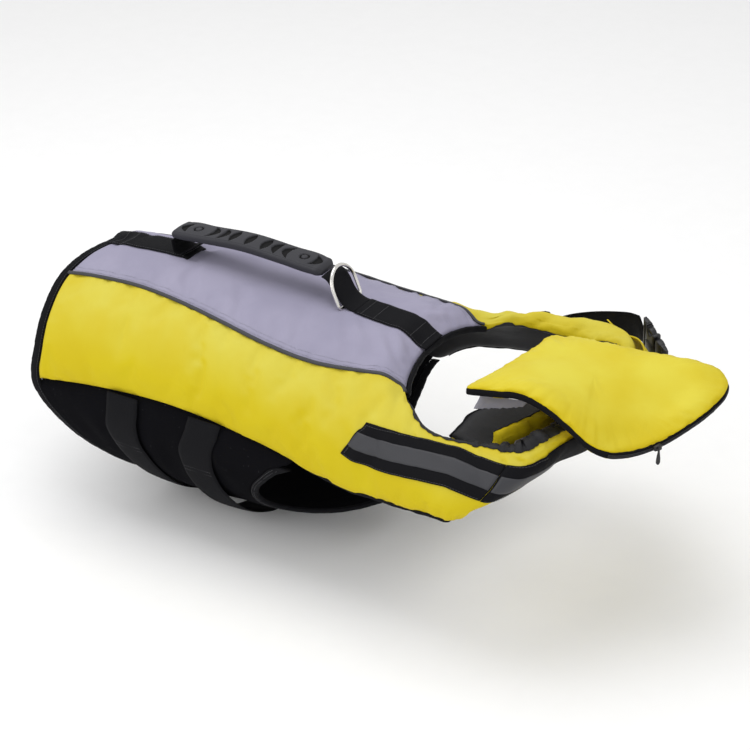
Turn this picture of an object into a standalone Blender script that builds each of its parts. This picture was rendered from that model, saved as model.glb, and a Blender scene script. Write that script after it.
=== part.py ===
"""Dog life jacket with a chin float, filled out as it is when worn.

Frame: metres, +X towards the dog's head, +Y its left side, +Z up.
The origin lies on the inner face of the back panel, where the jacket rests on the dog.
Lengths in the tables are millimetres and angles are degrees; table() turns both into
metres and radians.
"""

import math

import bmesh
import bpy
import numpy as np

for thing in list(bpy.data.objects):
    bpy.data.objects.remove(thing, do_unlink=True)

MM = 0.001
RIGHT, LEFT = -1, 1

GAP = 0.3 * MM                # air left between neighbouring pieces
FOAM = 12.0 * MM              # back and side panels
ARM_FOAM = 8.0 * MM           # towards the neck and on the arms
LINING = 1.0 * MM
NEOPRENE = 3.5 * MM           # belly panel
BINDING = 9.0 * MM            # width of the bound leg holes
TAIL_BINDING = 12.5 * MM      # width of the bound tail hem
EDGE_BINDING = 4.0 * MM       # width of the neck and arm edges
WEBBING = 38.0 * MM           # spine and handle straps
BELLY_WEBBING = 42.0 * MM     # belly straps
WEBBING_THICK = 1.8 * MM
ARM_WEBBING = 42.0 * MM       # reflective webbing on the arms, and the front strap
STRIPE = 17.0 * MM            # reflective stripe in its middle
STRIPE_THICK = 0.5 * MM
PIPING = 5.0 * MM
PAD_EDGE = 8.0 * MM           # height of the chin float's zipped edge
PAD_CROWN = 11.0 * MM         # rise of its faces over that edge
RING_WIRE = 4.0 * MM

BODY_MIDDLE_Z = -112.0 * MM   # height of the widest point of each section


# ---------------------------------------------------------------- tables and curves


def table(names, *rows):
    """Named columns: a name ending in _mm is read as millimetres, in _deg as degrees."""
    columns = {}
    for name, values in zip(names.split(), np.array(rows, dtype=float).T):
        if name.endswith("_mm"):
            columns[name[:-3]] = values * MM
        elif name.endswith("_deg"):
            columns[name[:-4]] = np.radians(values)
        else:
            columns[name] = values
    return columns


def smooth(places, values, at):
    """Cubic through values at rising places, held at both ends; values may be points."""
    slopes = np.gradient(values, places, axis=0)
    at = np.clip(np.asarray(at, dtype=float), places[0], places[-1])
    k = np.clip(np.searchsorted(places, at) - 1, 0, len(places) - 2)
    step = places[k + 1] - places[k]
    t = (at - places[k]) / step
    if values.ndim > 1:
        shape = t.shape + (1,) * (values.ndim - 1)
        t, step = t.reshape(shape), step.reshape(shape)
    return (
        (2 * t**3 - 3 * t**2 + 1) * values[k]
        + (t**3 - 2 * t**2 + t) * step * slopes[k]
        + (3 * t**2 - 2 * t**3) * values[k + 1]
        + (t**3 - t**2) * step * slopes[k + 1]
    )


def ease(value):
    """0 below 0, 1 above 1, and a soft step between."""
    value = np.clip(value, 0.0, 1.0)
    return value * value * (3 - 2 * value)


def mix(first, second, share):
    return first + (second - first) * share


def crowded(count):
    """Shares from 0 to 1 that lie closer together at both ends."""
    even = np.linspace(0, 1, count)
    return mix(even, (1 - np.cos(math.pi * even)) / 2, 0.85)


# ---------------------------------------------------------------- meshes


def material(name, colour, roughness, metallic=0.0):
    made = bpy.data.materials.new(name)
    made.use_nodes = True
    shader = made.node_tree.nodes["Principled BSDF"]
    shader.inputs["Base Color"].default_value = (*colour, 1)
    shader.inputs["Roughness"].default_value = roughness
    shader.inputs["Metallic"].default_value = metallic
    made.diffuse_color = (*colour, 1)
    return made


YELLOW = material("yellow_cloth", (0.72, 0.56, 0.03), 0.75)
GREY = material("grey_cloth", (0.40, 0.38, 0.50), 0.75)
NEOPRENE_BLACK = material("black_neoprene", (0.012, 0.012, 0.014), 0.85)
WEBBING_BLACK = material("black_webbing", (0.016, 0.016, 0.019), 0.7)
LINING_BLACK = material("black_lining", (0.02, 0.02, 0.023), 0.6)
REFLECTIVE = material("reflective_tape", (0.10, 0.10, 0.105), 0.5)
RUBBER = material("moulded_rubber", (0.035, 0.035, 0.042), 0.5)
HOOK_TAPE = material("hook_tape", (0.26, 0.25, 0.30), 0.9)
PLASTIC = material("black_plastic", (0.015, 0.015, 0.017), 0.4)
NICKEL = material("nickel", (0.75, 0.73, 0.70), 0.2, 1.0)


def add_object(name, points, faces, surface, origin=(0, 0, 0)):
    """A closed mesh with its faces out, its object placed at origin."""
    mesh = bpy.data.meshes.new(name)
    local = np.asarray(points) - np.asarray(origin)
    mesh.from_pydata([tuple(p) for p in local], [], faces)
    shell = bmesh.new()
    shell.from_mesh(mesh)
    bmesh.ops.recalc_face_normals(shell, faces=shell.faces)
    shell.to_mesh(mesh)
    shell.free()
    mesh.materials.append(surface)
    mesh.shade_smooth()
    mesh.set_sharp_from_angle(angle=math.radians(40))
    made = bpy.data.objects.new(name, mesh)
    made.location = origin
    bpy.context.scene.collection.objects.link(made)
    return made


def wall(name, outer, inner, surface):
    """A sheet with thickness between two grids of points of the same shape.

    Every cell is split along the same diagonal, so that sheets made from one grid at two
    depths keep clear of each other.
    """
    rows, columns = outer.shape[:2]
    count = rows * columns

    def at(row, column, side):
        return side * count + row * columns + column

    faces = []
    for row in range(rows - 1):
        for column in range(columns - 1):
            corners = (row, column), (row, column + 1), (row + 1, column + 1), (row + 1, column)
            for half in (corners[:3], corners[2:] + corners[:1]):
                faces.append([at(r, c, 0) for r, c in half])
                faces.append([at(r, c, 1) for r, c in reversed(half)])
    border = (
        [(0, c) for c in range(columns)]
        + [(r, columns - 1) for r in range(1, rows)]
        + [(rows - 1, c) for c in range(columns - 2, -1, -1)]
        + [(r, 0) for r in range(rows - 2, 0, -1)]
    )
    for (r0, c0), (r1, c1) in zip(border, border[1:] + border[:1]):
        faces.append([at(r0, c0, 0), at(r0, c0, 1), at(r1, c1, 1), at(r1, c1, 0)])
    points = np.concatenate([outer.reshape(-1, 3), inner.reshape(-1, 3)])
    return add_object(name, points, faces, surface)


def bar(name, loops, surface, closed=False, origin=(0, 0, 0)):
    """A rod through loops of points, one loop per station, capped unless it closes."""
    stations, around = loops.shape[:2]
    faces = []
    for i in range(stations if closed else stations - 1):
        j = (i + 1) % stations
        for k in range(around):
            m = (k + 1) % around
            faces.append([i * around + k, i * around + m, j * around + m, j * around + k])
    if not closed:
        faces.append(list(range(around)))
        faces.append([(stations - 1) * around + k for k in reversed(range(around))])
    return add_object(name, loops.reshape(-1, 3), faces, surface, origin)


def section_loops(centres, sides, ups, outline):
    """Places a flat outline of (side, up) pairs at each centre; it may differ by station."""
    outline = np.broadcast_to(outline, (len(centres),) + np.shape(outline)[-2:])
    return (
        centres[:, None, :]
        + outline[..., :1] * sides[:, None, :]
        + outline[..., 1:] * ups[:, None, :]
    )


def unit(vectors):
    return vectors / np.linalg.norm(vectors, axis=-1, keepdims=True)


def grid_normals(grid, facing):
    """Unit normals of a grid of points; facing is 1 or -1 and picks the side."""
    along = np.gradient(grid, axis=0)
    across = np.gradient(grid, axis=1)
    return unit(np.cross(along, across)) * facing


def edge_distances(grid):
    """Distance of each grid point from the nearest of the grid's four edges."""
    def run(axis):
        steps = np.linalg.norm(np.diff(grid, axis=axis), axis=-1)
        start = np.zeros_like(np.take(steps, [0], axis=axis))
        walked = np.concatenate([start, np.cumsum(steps, axis=axis)], axis=axis)
        total = np.take(walked, [-1], axis=axis)
        return np.minimum(walked, total - walked)
    return np.minimum(run(0), run(1))


def drawn_in(grid, amount):
    """The grid with its four borders moved in towards its middle."""
    moved = grid.copy()
    moved[0] += unit(grid[1] - grid[0]) * amount
    moved[-1] += unit(grid[-2] - grid[-1]) * amount
    moved[:, 0] += unit(grid[:, 1] - grid[:, 0]) * amount
    moved[:, -1] += unit(grid[:, -2] - grid[:, -1]) * amount
    return moved


def unfolded(inner, outer, least=0.4):
    """Spreads an inner grid where its steps have shrunk under a tight bend of the outer one.

    Each step keeps at least that share of the outer step beside it.
    """
    inner = inner.copy()
    for _ in range(25):
        for axis in (0, 1):
            beside = np.diff(outer, axis=axis)
            length = np.linalg.norm(beside, axis=-1, keepdims=True)
            step = np.diff(inner, axis=axis)
            progress = (step * beside).sum(axis=-1, keepdims=True) / length
            push = np.clip(least * length - progress, 0, None) * beside / length / 2
            if axis == 0:
                inner[:-1] -= push
                inner[1:] += push
            else:
                inner[:, :-1] -= push
                inner[:, 1:] += push
    return inner


def padded_wall(name, grid, normals, thickness, surface, squeeze, soft_edge=9 * MM):
    """A foam panel: full thickness inside, squeezed and rounded along its edges.

    The thickness is given for each row.
    Its inner edges are drawn in, so that panels seamed at an angle stay clear. The result
    is the grid of its inner face and the way in from its outer face at each point.
    """
    near = np.clip(1 - edge_distances(grid) / soft_edge, 0, 1)
    thickness = thickness[:, None]
    drop = squeeze * thickness / 2 * (1 - np.sqrt(1 - near**2))
    outer = grid - normals * drop[..., None]
    inner = drawn_in(grid, 1.6 * MM) - normals * (thickness - drop)[..., None]
    inner = unfolded(inner, grid)
    wall(name, outer, inner, surface)
    return inner, unit(inner - outer)


def plain_wall(name, grid, facing, top, bottom, surface, draw=0.0):
    """A sheet between two distances out from a grid of points."""
    normals = grid_normals(grid, facing)
    return wall(name, grid + normals * top, drawn_in(grid, draw) + normals * bottom, surface)


def line_inside(name, inner, inward):
    """A lining on the inner face of a panel."""
    deep = unfolded(inner + inward * (GAP + LINING), inner, least=0.8)
    wall(name, mix(inner, deep, GAP / (GAP + LINING)), deep, LINING_BLACK)


# ---------------------------------------------------------------- body shape

# Sections across the body, from the tail hem to the shoulders.
BODY = table(
    "x_mm half_width_mm spine_z_mm belly_z_mm top_power belly_power",
    (-255, 132, 9, -230, 2.20, 2.1),
    (-200, 137, 14, -240, 2.35, 2.1),
    (-130, 140, 16, -246, 2.45, 2.1),
    (-50, 142, 14, -249, 2.50, 2.1),
    (30, 144, 9.5, -243, 2.50, 2.1),
    (100, 147, 3, -226, 2.45, 2.1),
    (150, 151, 0, -206, 2.40, 2.1),
    (200, 158, -3, -192, 2.30, 2.1),
    (250, 167, -5, -186, 2.20, 2.1),
    (310, 176, -6, -186, 2.10, 2.1),
)
# The edges below are angles round the section, 0 at the spine and 180 at the belly.
TOP_EDGE = table(      # grey and yellow seam, then the neck edge of the arm
    "x_mm angle_deg",
    (-255, 31.5), (-219, 29.6), (-190, 28.6), (-135, 27.9), (-79, 29.9), (-23, 33.4),
    (32, 36.9), (82, 37.8), (106, 37.0), (150, 33.2), (186, 29.4), (196, 28.6),
    (203, 31.5), (209, 35.5), (218, 39.5), (234, 45.3), (252, 47.8), (275, 47.8), (310, 45.6),
)
LOW_EDGE = table(      # yellow and black seam, then the lower edge of the arm
    "x_mm angle_deg",
    (-255, 91.0), (-178, 86.8), (-122, 85.0), (-68, 84.2), (-16, 85.0), (35, 87.0),
    (86, 89.3), (130, 92.5), (168, 95.2), (213, 92.6), (239, 90.6), (274, 88.4), (310, 87.0),
)
LOW_EDGE_RISE = table(     # how far the left arm's lower edge lies above that
    "x_mm angle_deg", (125, 0), (138, 6), (150, 10.5), (168, 14), (190, 15.5), (213, 15.5),
    (240, 13), (274, 8), (310, 4),
)
TAIL_HEM = table(      # where the jacket ends over the tail
    "angle_deg x_mm",
    (0, -229), (14, -240), (29, -247), (52, -248), (74, -249), (92, -252), (101, -242),
    (113, -221), (123, -202), (131, -183), (145, -160), (162, -146), (180, -142),
)
NECK_HEM = table(      # neck edge of the back panel
    "angle_deg x_mm",
    (0, 184), (6, 185), (13, 188), (21, 193), (30, 201),
)
LEG_HOLE_RIGHT = table(   # front edge of the belly panel: seam, leg hole, tongue
    "angle_deg x_mm",
    (92, 106), (95, 97), (99, 82), (107, 62), (115, 48), (125, 42), (134, 48), (142, 68),
    (150, 98), (158, 126), (168, 147), (180, 153),
)
LEG_HOLE_LEFT = table(
    "angle_deg x_mm",
    (92, 120), (95, 116), (102, 107), (113, 101), (125, 98), (134, 97), (142, 102),
    (150, 113), (158, 130), (168, 147), (180, 153),
)


def wrapped(angle):
    """The same angle between -180 and 180 degrees."""
    return (np.asarray(angle, float) + math.pi) % (2 * math.pi) - math.pi


def body_point(x, angle):
    """Outer face of the jacket at station x; the angle is negative on the right side."""
    x, angle = np.broadcast_arrays(np.asarray(x, float), wrapped(angle))

    def read(column):
        return smooth(BODY["x"], BODY[column], x)

    sine, cosine = np.sin(np.abs(angle)), np.cos(angle)
    upper = cosine >= 0
    power = np.where(upper, read("top_power"), read("belly_power"))
    height = np.where(upper, read("spine_z") - BODY_MIDDLE_Z, BODY_MIDDLE_Z - read("belly_z"))
    y = read("half_width") * np.abs(sine) ** (2 / power)
    z = BODY_MIDDLE_Z + np.sign(cosine) * height * np.abs(cosine) ** (2 / power)

    # The collar rolls down over its last 38 mm, and less so beyond the grey panel.
    hem = 185 * MM + 18 * MM * (y / (84 * MM)) ** 2
    roll = ease((x - hem) / (38 * MM) + 1) ** 1.5 * (1 - ease((y - 85 * MM) / (30 * MM)))

    # The left side of the tail end sags.
    sag = ease((np.sign(angle) * y - 12 * MM) / (58 * MM)) * ease(cosine / 0.6)
    sag = sag * (1 - ease((x + 165 * MM) / (125 * MM)))
    return np.stack([x, np.sign(angle) * y, z - 13 * MM * roll - 11 * MM * sag], axis=-1)


def body_grid(stations, angle_at, shares, start=None, finish=None, blend=60 * MM):
    """Points, stations and angles of a grid whose first and last rows follow two hems.

    angle_at(x, share) gives the angle; start and finish give the hem's x at an angle.
    """
    first, last = stations[0], stations[-1]
    x = np.repeat(np.asarray(stations, float)[:, None], len(shares), axis=1)
    base = x.copy()
    for _ in range(6):
        angle = angle_at(x, shares)
        shift = np.zeros_like(x)
        if start is not None:
            shift += (start(angle) - first) * (1 - ease((base - first) / blend))
        if finish is not None:
            shift += (finish(angle) - last) * (1 - ease((last - base) / blend))
        x = base + shift
    return body_point(x, angle_at(x, shares)), x, angle_at(x, shares)


def read_edge(edge, x):
    return smooth(edge["x"], edge["angle"], x)


def hem_x(edge, angle):
    return smooth(edge["angle"], edge["x"], np.abs(wrapped(angle)))


def body_frame(x, angle):
    """Points of the body with unit vectors along it and out of it."""
    x, angle = np.broadcast_arrays(np.asarray(x, float), np.asarray(angle, float))
    ahead = body_point(x + MM, angle) - body_point(x - MM, angle)
    around = body_point(x, angle + 0.01) - body_point(x, angle - 0.01)
    return body_point(x, angle), unit(ahead), unit(np.cross(ahead, around))


GIRTH_RADIUS = 140 * MM               # turns a length round the body into an angle
SEAM_INSET = GAP / GIRTH_RADIUS       # half of a seam's gap
FOAM_FACING = {RIGHT: -1, LEFT: 1}    # side of a grid that points away from the dog


def hem_line(edge, angle, inset):
    """Station of a line that keeps a distance in from a hem; a leg hole's is negative."""
    slope = (hem_x(edge, angle + 0.02) - hem_x(edge, angle - 0.02)) / (0.04 * GIRTH_RADIUS)
    return hem_x(edge, angle) + inset * np.sqrt(1 + slope**2)


def inside_tail(angle):
    return hem_line(TAIL_HEM, angle, TAIL_BINDING + 2 * GAP)


# ---------------------------------------------------------------- back panel

BODY_ROWS = np.array([
    -229, -205, -178, -150, -120, -90, -60, -30, 0, 30, 60, 90, 118, 142, 160, 174, 184, 190,
]) * MM


def back_angle(x, shares):
    return (read_edge(TOP_EDGE, x) - SEAM_INSET) * mix(-1, 1, shares)


back, back_x, back_angles = body_grid(
    BODY_ROWS, back_angle, crowded(13), start=inside_tail,
    finish=lambda angle: hem_line(NECK_HEM, angle, -GAP),
)


def foam_at(x):
    return mix(FOAM, ARM_FOAM, ease((x - 110 * MM) / (60 * MM)))


back_normals = grid_normals(back, 1)
line_inside("lining_back", *padded_wall(
    "back_panel", back, back_normals, foam_at(back_x[:, 6]), GREY, squeeze=0.62,
))


# ---------------------------------------------------------------- side panels with arms

SIDE_ROWS = np.concatenate([
    BODY_ROWS[:15], np.array([172, 186, 196, 203, 209, 218, 228, 240, 257, 274, 292]) * MM,
])
# Beyond the body each arm is given by points down its outer face: at its neck edge,
# half way and at its lower edge. The right arm turns at the chest, crosses the front
# and ends outside the left one. The left arm turns back inside the right one.
ARM_NAMES = "rim_x_mm rim_y_mm rim_z_mm mid_x_mm mid_y_mm mid_z_mm low_x_mm low_y_mm low_z_mm"
ARM_RIGHT = table(
    ARM_NAMES,
    (315, -127, -37, 326, -157, -72, 300, -161, -109),
    (338, -126, -36, 345, -146, -65, 302, -147, -110),
    (353, -121, -34, 357, -130, -60, 305, -130, -108),
    (364, -102, -30, 366, -102, -58, 314, -101, -105),
    (373, -78, -28, 372, -75, -57, 322, -72, -102),
    (380, -40, -28, 384, -36, -58, 330, -34, -100),
    (384, 20, -28, 389, 20, -57, 334, 20, -98),
    (383, 75, -28, 388, 78, -56, 342, 80, -94),
    (377, 113, -27, 383, 119, -53, 352, 118, -88),
    (361, 137, -27, 366, 144, -52, 352, 145, -80),
    (335, 150, -31, 339, 162, -54, 338, 164, -76),
    (312, 162, -27, 315, 176, -48, 316, 178, -68),
)
ARM_LEFT = table(
    ARM_NAMES,
    (318, 124, -32, 325, 155, -37, 308, 154, -84),
    (340, 121, -28, 347, 142, -38, 320, 132, -86),
    (354, 110, -25, 361, 117, -50, 326, 110, -88),
    (358, 92, -26, 361, 88, -60, 322, 88, -90),
    (356, 70, -27, 356, 66, -64, 310, 66, -90),
    (351, 36, -28, 346, 34, -66, 290, 36, -80),
    (345, -9, -31, 336, -9, -68, 274, -9, -64),
    (334, -49, -33, 324, -50, -66, 258, -51, -60),
    (323, -80, -34, 312, -80, -65, 258, -76, -62),
    (308, -98, -40, 298, -98, -66, 256, -92, -66),
    (291, -105, -50, 281, -105, -70, 250, -98, -76),
)


LEFT_SHOULDER = table(     # the left shoulder puffs up beside its neck edge
    "share rise_mm", (0, -3), (0.13, 9), (0.3, 20), (0.5, 20), (0.7, 9), (1, 0),
)


def arm_row(arm, row, shares):
    """Points across an arm from its rim to its lower edge, on a curve through its middle."""
    rim, mid, low = (
        np.array([arm[f"{place}_{axis}"][row] for axis in "xyz"]) for place in ("rim", "mid", "low")
    )
    u = shares[:, None]
    return rim * (1 - u) * (1 - 2 * u) + mid * 4 * u * (1 - u) + low * u * (2 * u - 1)


def low_edge(side, x):
    """The angle of a side panel's lower edge."""
    return read_edge(LOW_EDGE, x) - (side == LEFT) * read_edge(LOW_EDGE_RISE, x)


def side_angle(side):
    def angle_at(x, shares):
        top = read_edge(TOP_EDGE, x) + SEAM_INSET
        return side * mix(top, low_edge(side, x) - SEAM_INSET, shares)
    return angle_at


class Side:
    """One side panel and its arm, as a smooth surface over (station, share across).

    Stations count the rows of control points, so a station need not be whole.
    """

    CONTROLS = np.linspace(0, 1, 13)

    def __init__(self, side, arm):
        self.side = side
        body, _, _ = body_grid(SIDE_ROWS, side_angle(side), self.CONTROLS, start=inside_tail)
        if side == LEFT:
            rise = smooth(LEFT_SHOULDER["share"], LEFT_SHOULDER["rise"], self.CONTROLS)
            body[..., 2] += rise * ease((SIDE_ROWS - 203 * MM) / (38 * MM))[:, None]
        rows = [arm_row(arm, row, self.CONTROLS) for row in range(len(arm["rim_x"]))]
        self.rows = np.concatenate([body, np.array(rows)])
        self.last = len(self.rows) - 1
        self.first_arm = len(SIDE_ROWS) - 1
        middle = self.rows[:, 6]
        self.walked = np.concatenate(
            [[0], np.cumsum(np.linalg.norm(np.diff(middle, axis=0), axis=1))]
        )

    def at(self, stations, shares):
        """Grid of points at the stations, each crossed at the shares (one row of them each)."""
        shares = np.broadcast_to(shares, (len(stations), np.shape(shares)[-1]))
        whole = smooth(self.walked, self.rows, self.length_at(stations))
        return np.stack([smooth(self.CONTROLS, row, share) for row, share in zip(whole, shares)])

    def length_at(self, stations):
        return np.interp(stations, np.arange(self.last + 1), self.walked)

    def station_at(self, lengths):
        return np.interp(lengths, self.walked, np.arange(self.last + 1))

    def stations(self, start, finish, spacing):
        """Stations from start to finish that lie about spacing apart along the panel."""
        lengths = self.length_at([start, finish])
        count = max(2, round((lengths[1] - lengths[0]) / spacing) + 1)
        return self.station_at(np.linspace(*lengths, count))

    def station_of_x(self, x):
        """The station of the body row at x."""
        return np.interp(x, SIDE_ROWS, np.arange(len(SIDE_ROWS)))

    def x_of_station(self, stations):
        return np.interp(stations, np.arange(len(SIDE_ROWS)), SIDE_ROWS)


SIDES = {RIGHT: Side(RIGHT, ARM_RIGHT), LEFT: Side(LEFT, ARM_LEFT)}
SIDE_NAMES = {RIGHT: "right", LEFT: "left"}

# The reflective webbing's top edge: an angle on the body, then a share across the arm.
WEBBING_EDGE = table("x_mm angle_deg", (183, 56.8), (222, 54.9), (257, 52.2), (292, 50.4))
WEBBING_ARM_SHARE = table(
    "row share",
    (0, 0.09), (1, 0.13), (2, 0.20), (3, 0.27), (4, 0.25), (5, 0.20), (6, 0.16), (12, 0.16),
)
LINES = np.array([0, ARM_WEBBING - STRIPE, ARM_WEBBING + STRIPE, 2 * ARM_WEBBING]) / 2
EVEN = np.array([0, 0.1, 0.28, 0.46, 0.64, 0.84, 1])


def webbing_share(panel, stations):
    """Share across an arm at which the top edge of its reflective webbing runs."""
    x = panel.x_of_station(stations)
    top, low = read_edge(TOP_EDGE, x), low_edge(panel.side, x)
    on_body = (read_edge(WEBBING_EDGE, x) - top) / (low - top)
    past = stations - panel.first_arm
    on_arm = smooth(WEBBING_ARM_SHARE["row"], WEBBING_ARM_SHARE["share"], past)
    return np.where(past < 0, on_body, on_arm)


def side_shares(panel, stations):
    """Seven shares down each row; four of them run along the webbing and its stripe."""
    fine = np.linspace(0, 1, 25)
    steps = np.linalg.norm(np.diff(panel.at(stations, fine), axis=1), axis=2)
    walked = np.concatenate([np.zeros((len(steps), 1)), np.cumsum(steps, axis=1)], axis=1)
    rows = []
    for top, walk in zip(webbing_share(panel, stations), walked):
        start = np.interp(top, fine, walk)
        room = min(1, (0.92 * walk[-1] - start) / ARM_WEBBING)
        lines = np.interp(start + LINES * room, walk, fine)
        rows.append([0, *lines, (1 + lines[-1]) / 2, 1])
    webbed = ease((panel.x_of_station(stations) - 130 * MM) / (50 * MM))[:, None]
    return mix(EVEN, np.array(rows), webbed)


FOAM_END = {RIGHT: 9, LEFT: 10}       # arm row where the foam ends
side_rows, side_grids = {}, {}
for which, panel in SIDES.items():
    rows = np.concatenate([
        panel.station_of_x(back_x[:, 0]),
        panel.stations(panel.station_of_x(back_x[-1, 0]), panel.station_of_x(245 * MM), 13 * MM)[1:],
        panel.stations(panel.station_of_x(245 * MM), panel.first_arm + FOAM_END[which], 17 * MM)[1:],
    ])
    grid = panel.at(rows, side_shares(panel, rows))
    seam_angles = which * (back_angles[:, -1] + 2 * SEAM_INSET)
    grid[:len(back), 0] = body_point(back_x[:, -1], seam_angles)
    normals = grid_normals(grid, FOAM_FACING[which])
    normals[:len(back), 0] = back_normals[:, 0 if which == RIGHT else -1]
    side_rows[which], side_grids[which] = rows, grid
    on_arm = ease((rows - panel.station_of_x(200 * MM)) / 3)[:, None]
    squeeze = mix(0.7, mix(0.35, 0.65, np.linspace(0, 1, grid.shape[1])), on_arm)
    lined = padded_wall(f"side_panel_{SIDE_NAMES[which]}", grid, normals,
                        foam_at(panel.x_of_station(rows)), YELLOW, squeeze)
    line_inside(f"lining_side_{SIDE_NAMES[which]}", *lined)


# ---------------------------------------------------------------- belly panel


def leg_hole(angle):
    """Station of the belly panel's front edge, inside the binding of the leg holes."""
    right, left = (hem_line(e, angle, -BINDING - GAP) for e in (LEG_HOLE_RIGHT, LEG_HOLE_LEFT))
    return np.where(wrapped(angle) > 0, left, right)


def belly_grid(rows, columns):
    """Body points from the left seam under the belly to the right one, with their angles."""
    share = np.linspace(0, 1, columns)[None]
    angle = np.repeat(mix(math.radians(90), math.radians(270), share), rows, axis=0)
    for _ in range(8):
        x = mix(inside_tail(angle), leg_hole(angle), np.linspace(0, 1, rows)[:, None])
        edge = read_edge(LOW_EDGE, x) + SEAM_INSET
        angle = mix(edge, 2 * math.pi - edge, share)
    return body_point(x, angle), angle


belly, belly_angles = belly_grid(11, 23)
plain_wall("belly_panel", belly, 1, 0, -NEOPRENE, NEOPRENE_BLACK, draw=0.6 * MM)


# ---------------------------------------------------------------- bindings and piping


def band_outline(width, top, bottom, corner=1.2 * MM):
    """A strip's outline as (side, up) pairs, its upper corners cut; it may vary by station."""
    top, bottom = np.broadcast_arrays(top, bottom)
    half = np.full(top.shape, width / 2)
    pairs = [
        (-half, top - corner), (corner - half, top), (half - corner, top), (half, top - corner),
        (half, bottom), (-half, bottom),
    ]
    return np.stack([np.stack(pair, axis=-1) for pair in pairs], axis=-2)


def sides_of(points, ups, closed=False):
    """Unit vectors square to a path and to the given up vectors."""
    if closed:
        ahead = np.roll(points, -1, axis=0) - np.roll(points, 1, axis=0)
    else:
        ahead = np.gradient(points, axis=0)
    return unit(np.cross(ups, ahead))


def hem_binding(name, edge, angles, insets, top, bottom, closed=False):
    """A binding along a hem between two distances in from it; top and bottom are heights."""
    near, far = insets
    corner = math.copysign(1.2 * MM, far - near)
    top, bottom = np.broadcast_arrays(top, bottom, angles)[:2]
    outline = (
        (near, top - 1.2 * MM), (near + corner, top), (far - corner, top), (far, top - 1.2 * MM),
        (far, bottom), (near, bottom),
    )
    loops = []
    for inset, height in outline:
        points, _, ups = body_frame(hem_line(edge, angles, inset), angles)
        loops.append(points + ups * np.reshape(height, (-1, 1)))
    bar(name, np.stack(loops, axis=1), WEBBING_BLACK, closed)


tail_angles = np.sort(wrapped(np.concatenate([
    back_angles[0], belly_angles[0],
    *[side_angle(which)(SIDE_ROWS[:1], side_shares(SIDES[which], np.zeros(1))[0]) for which in SIDES],
])))
tail_angles = tail_angles[np.append(True, np.diff(tail_angles) > math.radians(1))]
in_foam = 1 - ease((np.degrees(np.abs(tail_angles)) - 86) / 9)
hem_binding("tail_binding", TAIL_HEM, tail_angles, (0, TAIL_BINDING),
            mix(0.6 * MM, -1.4 * MM, in_foam), mix(-4.2 * MM, -10.4 * MM, in_foam), closed=True)

hem_binding("neck_binding", NECK_HEM, back_angles[-1] * 0.97, (GAP, GAP + EDGE_BINDING),
            np.full(13, -1.2 * MM), np.full(13, -7.0 * MM))

for which, edge in ((RIGHT, LEG_HOLE_RIGHT), (LEFT, LEG_HOLE_LEFT)):
    hole_angles = wrapped(belly_angles[-1]) * which
    hole_angles = np.sort(hole_angles[hole_angles > math.radians(96)])
    hole_angles = np.append(hole_angles[hole_angles < 3.1], math.radians(179.6))
    hem_binding(f"leg_binding_{SIDE_NAMES[which]}", edge, which * hole_angles, (0, -BINDING),
                np.full(len(hole_angles), 0.8 * MM), np.full(len(hole_angles), -4.4 * MM))

    bound = side_rows[which] > SIDES[which].station_of_x(edge["x"][0] + 6 * MM)
    edge_grid = side_grids[which][bound]
    ups = grid_normals(edge_grid, FOAM_FACING[which])[:, -1]
    outward = unit(edge_grid[:, -1] - edge_grid[:, -2])
    depth = foam_at(SIDES[which].x_of_station(side_rows[which][bound]))[:, None] / 2
    centres = edge_grid[:, -1] + outward * (GAP + EDGE_BINDING / 2) - ups * depth
    bar(f"arm_binding_{SIDE_NAMES[which]}",
        section_loops(centres, outward, ups, band_outline(EDGE_BINDING, 2.6 * MM, -2.6 * MM)),
        WEBBING_BLACK)

    piping_angle = which * (back_angles[:, -1] + SEAM_INSET)
    points, _, ups = body_frame(back_x[:, -1], piping_angle)
    bar(f"piping_{SIDE_NAMES[which]}",
        section_loops(points, sides_of(points, ups), ups, band_outline(PIPING, 1.8 * MM, -0.3 * MM)),
        REFLECTIVE)


# ---------------------------------------------------------------- spine webbing, handle and ring

BACK_TOP = WEBBING_THICK + GAP
# The line of the webbing's middle where it leaves the back for the handle, and the grip.
HANDLE_FRONT = table(
    "x_mm z_mm", (60, 38.6), (66, 36.5), (73, 29.5), (79, 20.5), (85, 12.6), (92, 8.6), (100, 6.9),
)
HANDLE_REAR = table(
    "x_mm z_mm", (-95, 38.5), (-104, 33), (-114, 26), (-121, 21), (-126, 19.9), (-130, 22),
    (-132, 28), (-132.5, 36.5),
)
GRIP = table(      # underside of the moulded grip
    "x_mm low_mm thick_mm half_width_mm",
    (-136, 39.0, 5.0, 12), (-133, 38.9, 7.5, 15.5), (-126, 39.4, 8.2, 17.5), (-95, 41.0, 8.5, 17.5),
    (-43, 43.5, 9.0, 17.5), (8, 40.5, 8.5, 17.5), (46, 37.6, 8.2, 17.5), (54, 36.7, 7.5, 15.5),
    (57, 36.6, 5.0, 12),
)
RING_BAR = np.array([85.0, 0, 7.0]) * MM
RING_LEAN = math.radians(22)
RING_HALF_WIDTH = 22.5 * MM
RING_HEIGHT = 42 * MM


def angle_of_y(x, y):
    """The section angle at which the body's upper side is y from its middle plane."""
    share = np.abs(y) / smooth(BODY["x"], BODY["half_width"], x)
    return np.sign(y) * np.arcsin(share ** (smooth(BODY["x"], BODY["top_power"], x) / 2))


RIBBON = np.linspace(-WEBBING / 2, WEBBING / 2, 5)


def back_ribbon(start, finish, count):
    """Grid of back points about the spine, as wide as the webbing, from start to finish."""
    x = np.linspace(start + 0 * RIBBON, finish + 0 * RIBBON, count)
    return body_point(x, angle_of_y(x, RIBBON + 0 * x))


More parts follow.
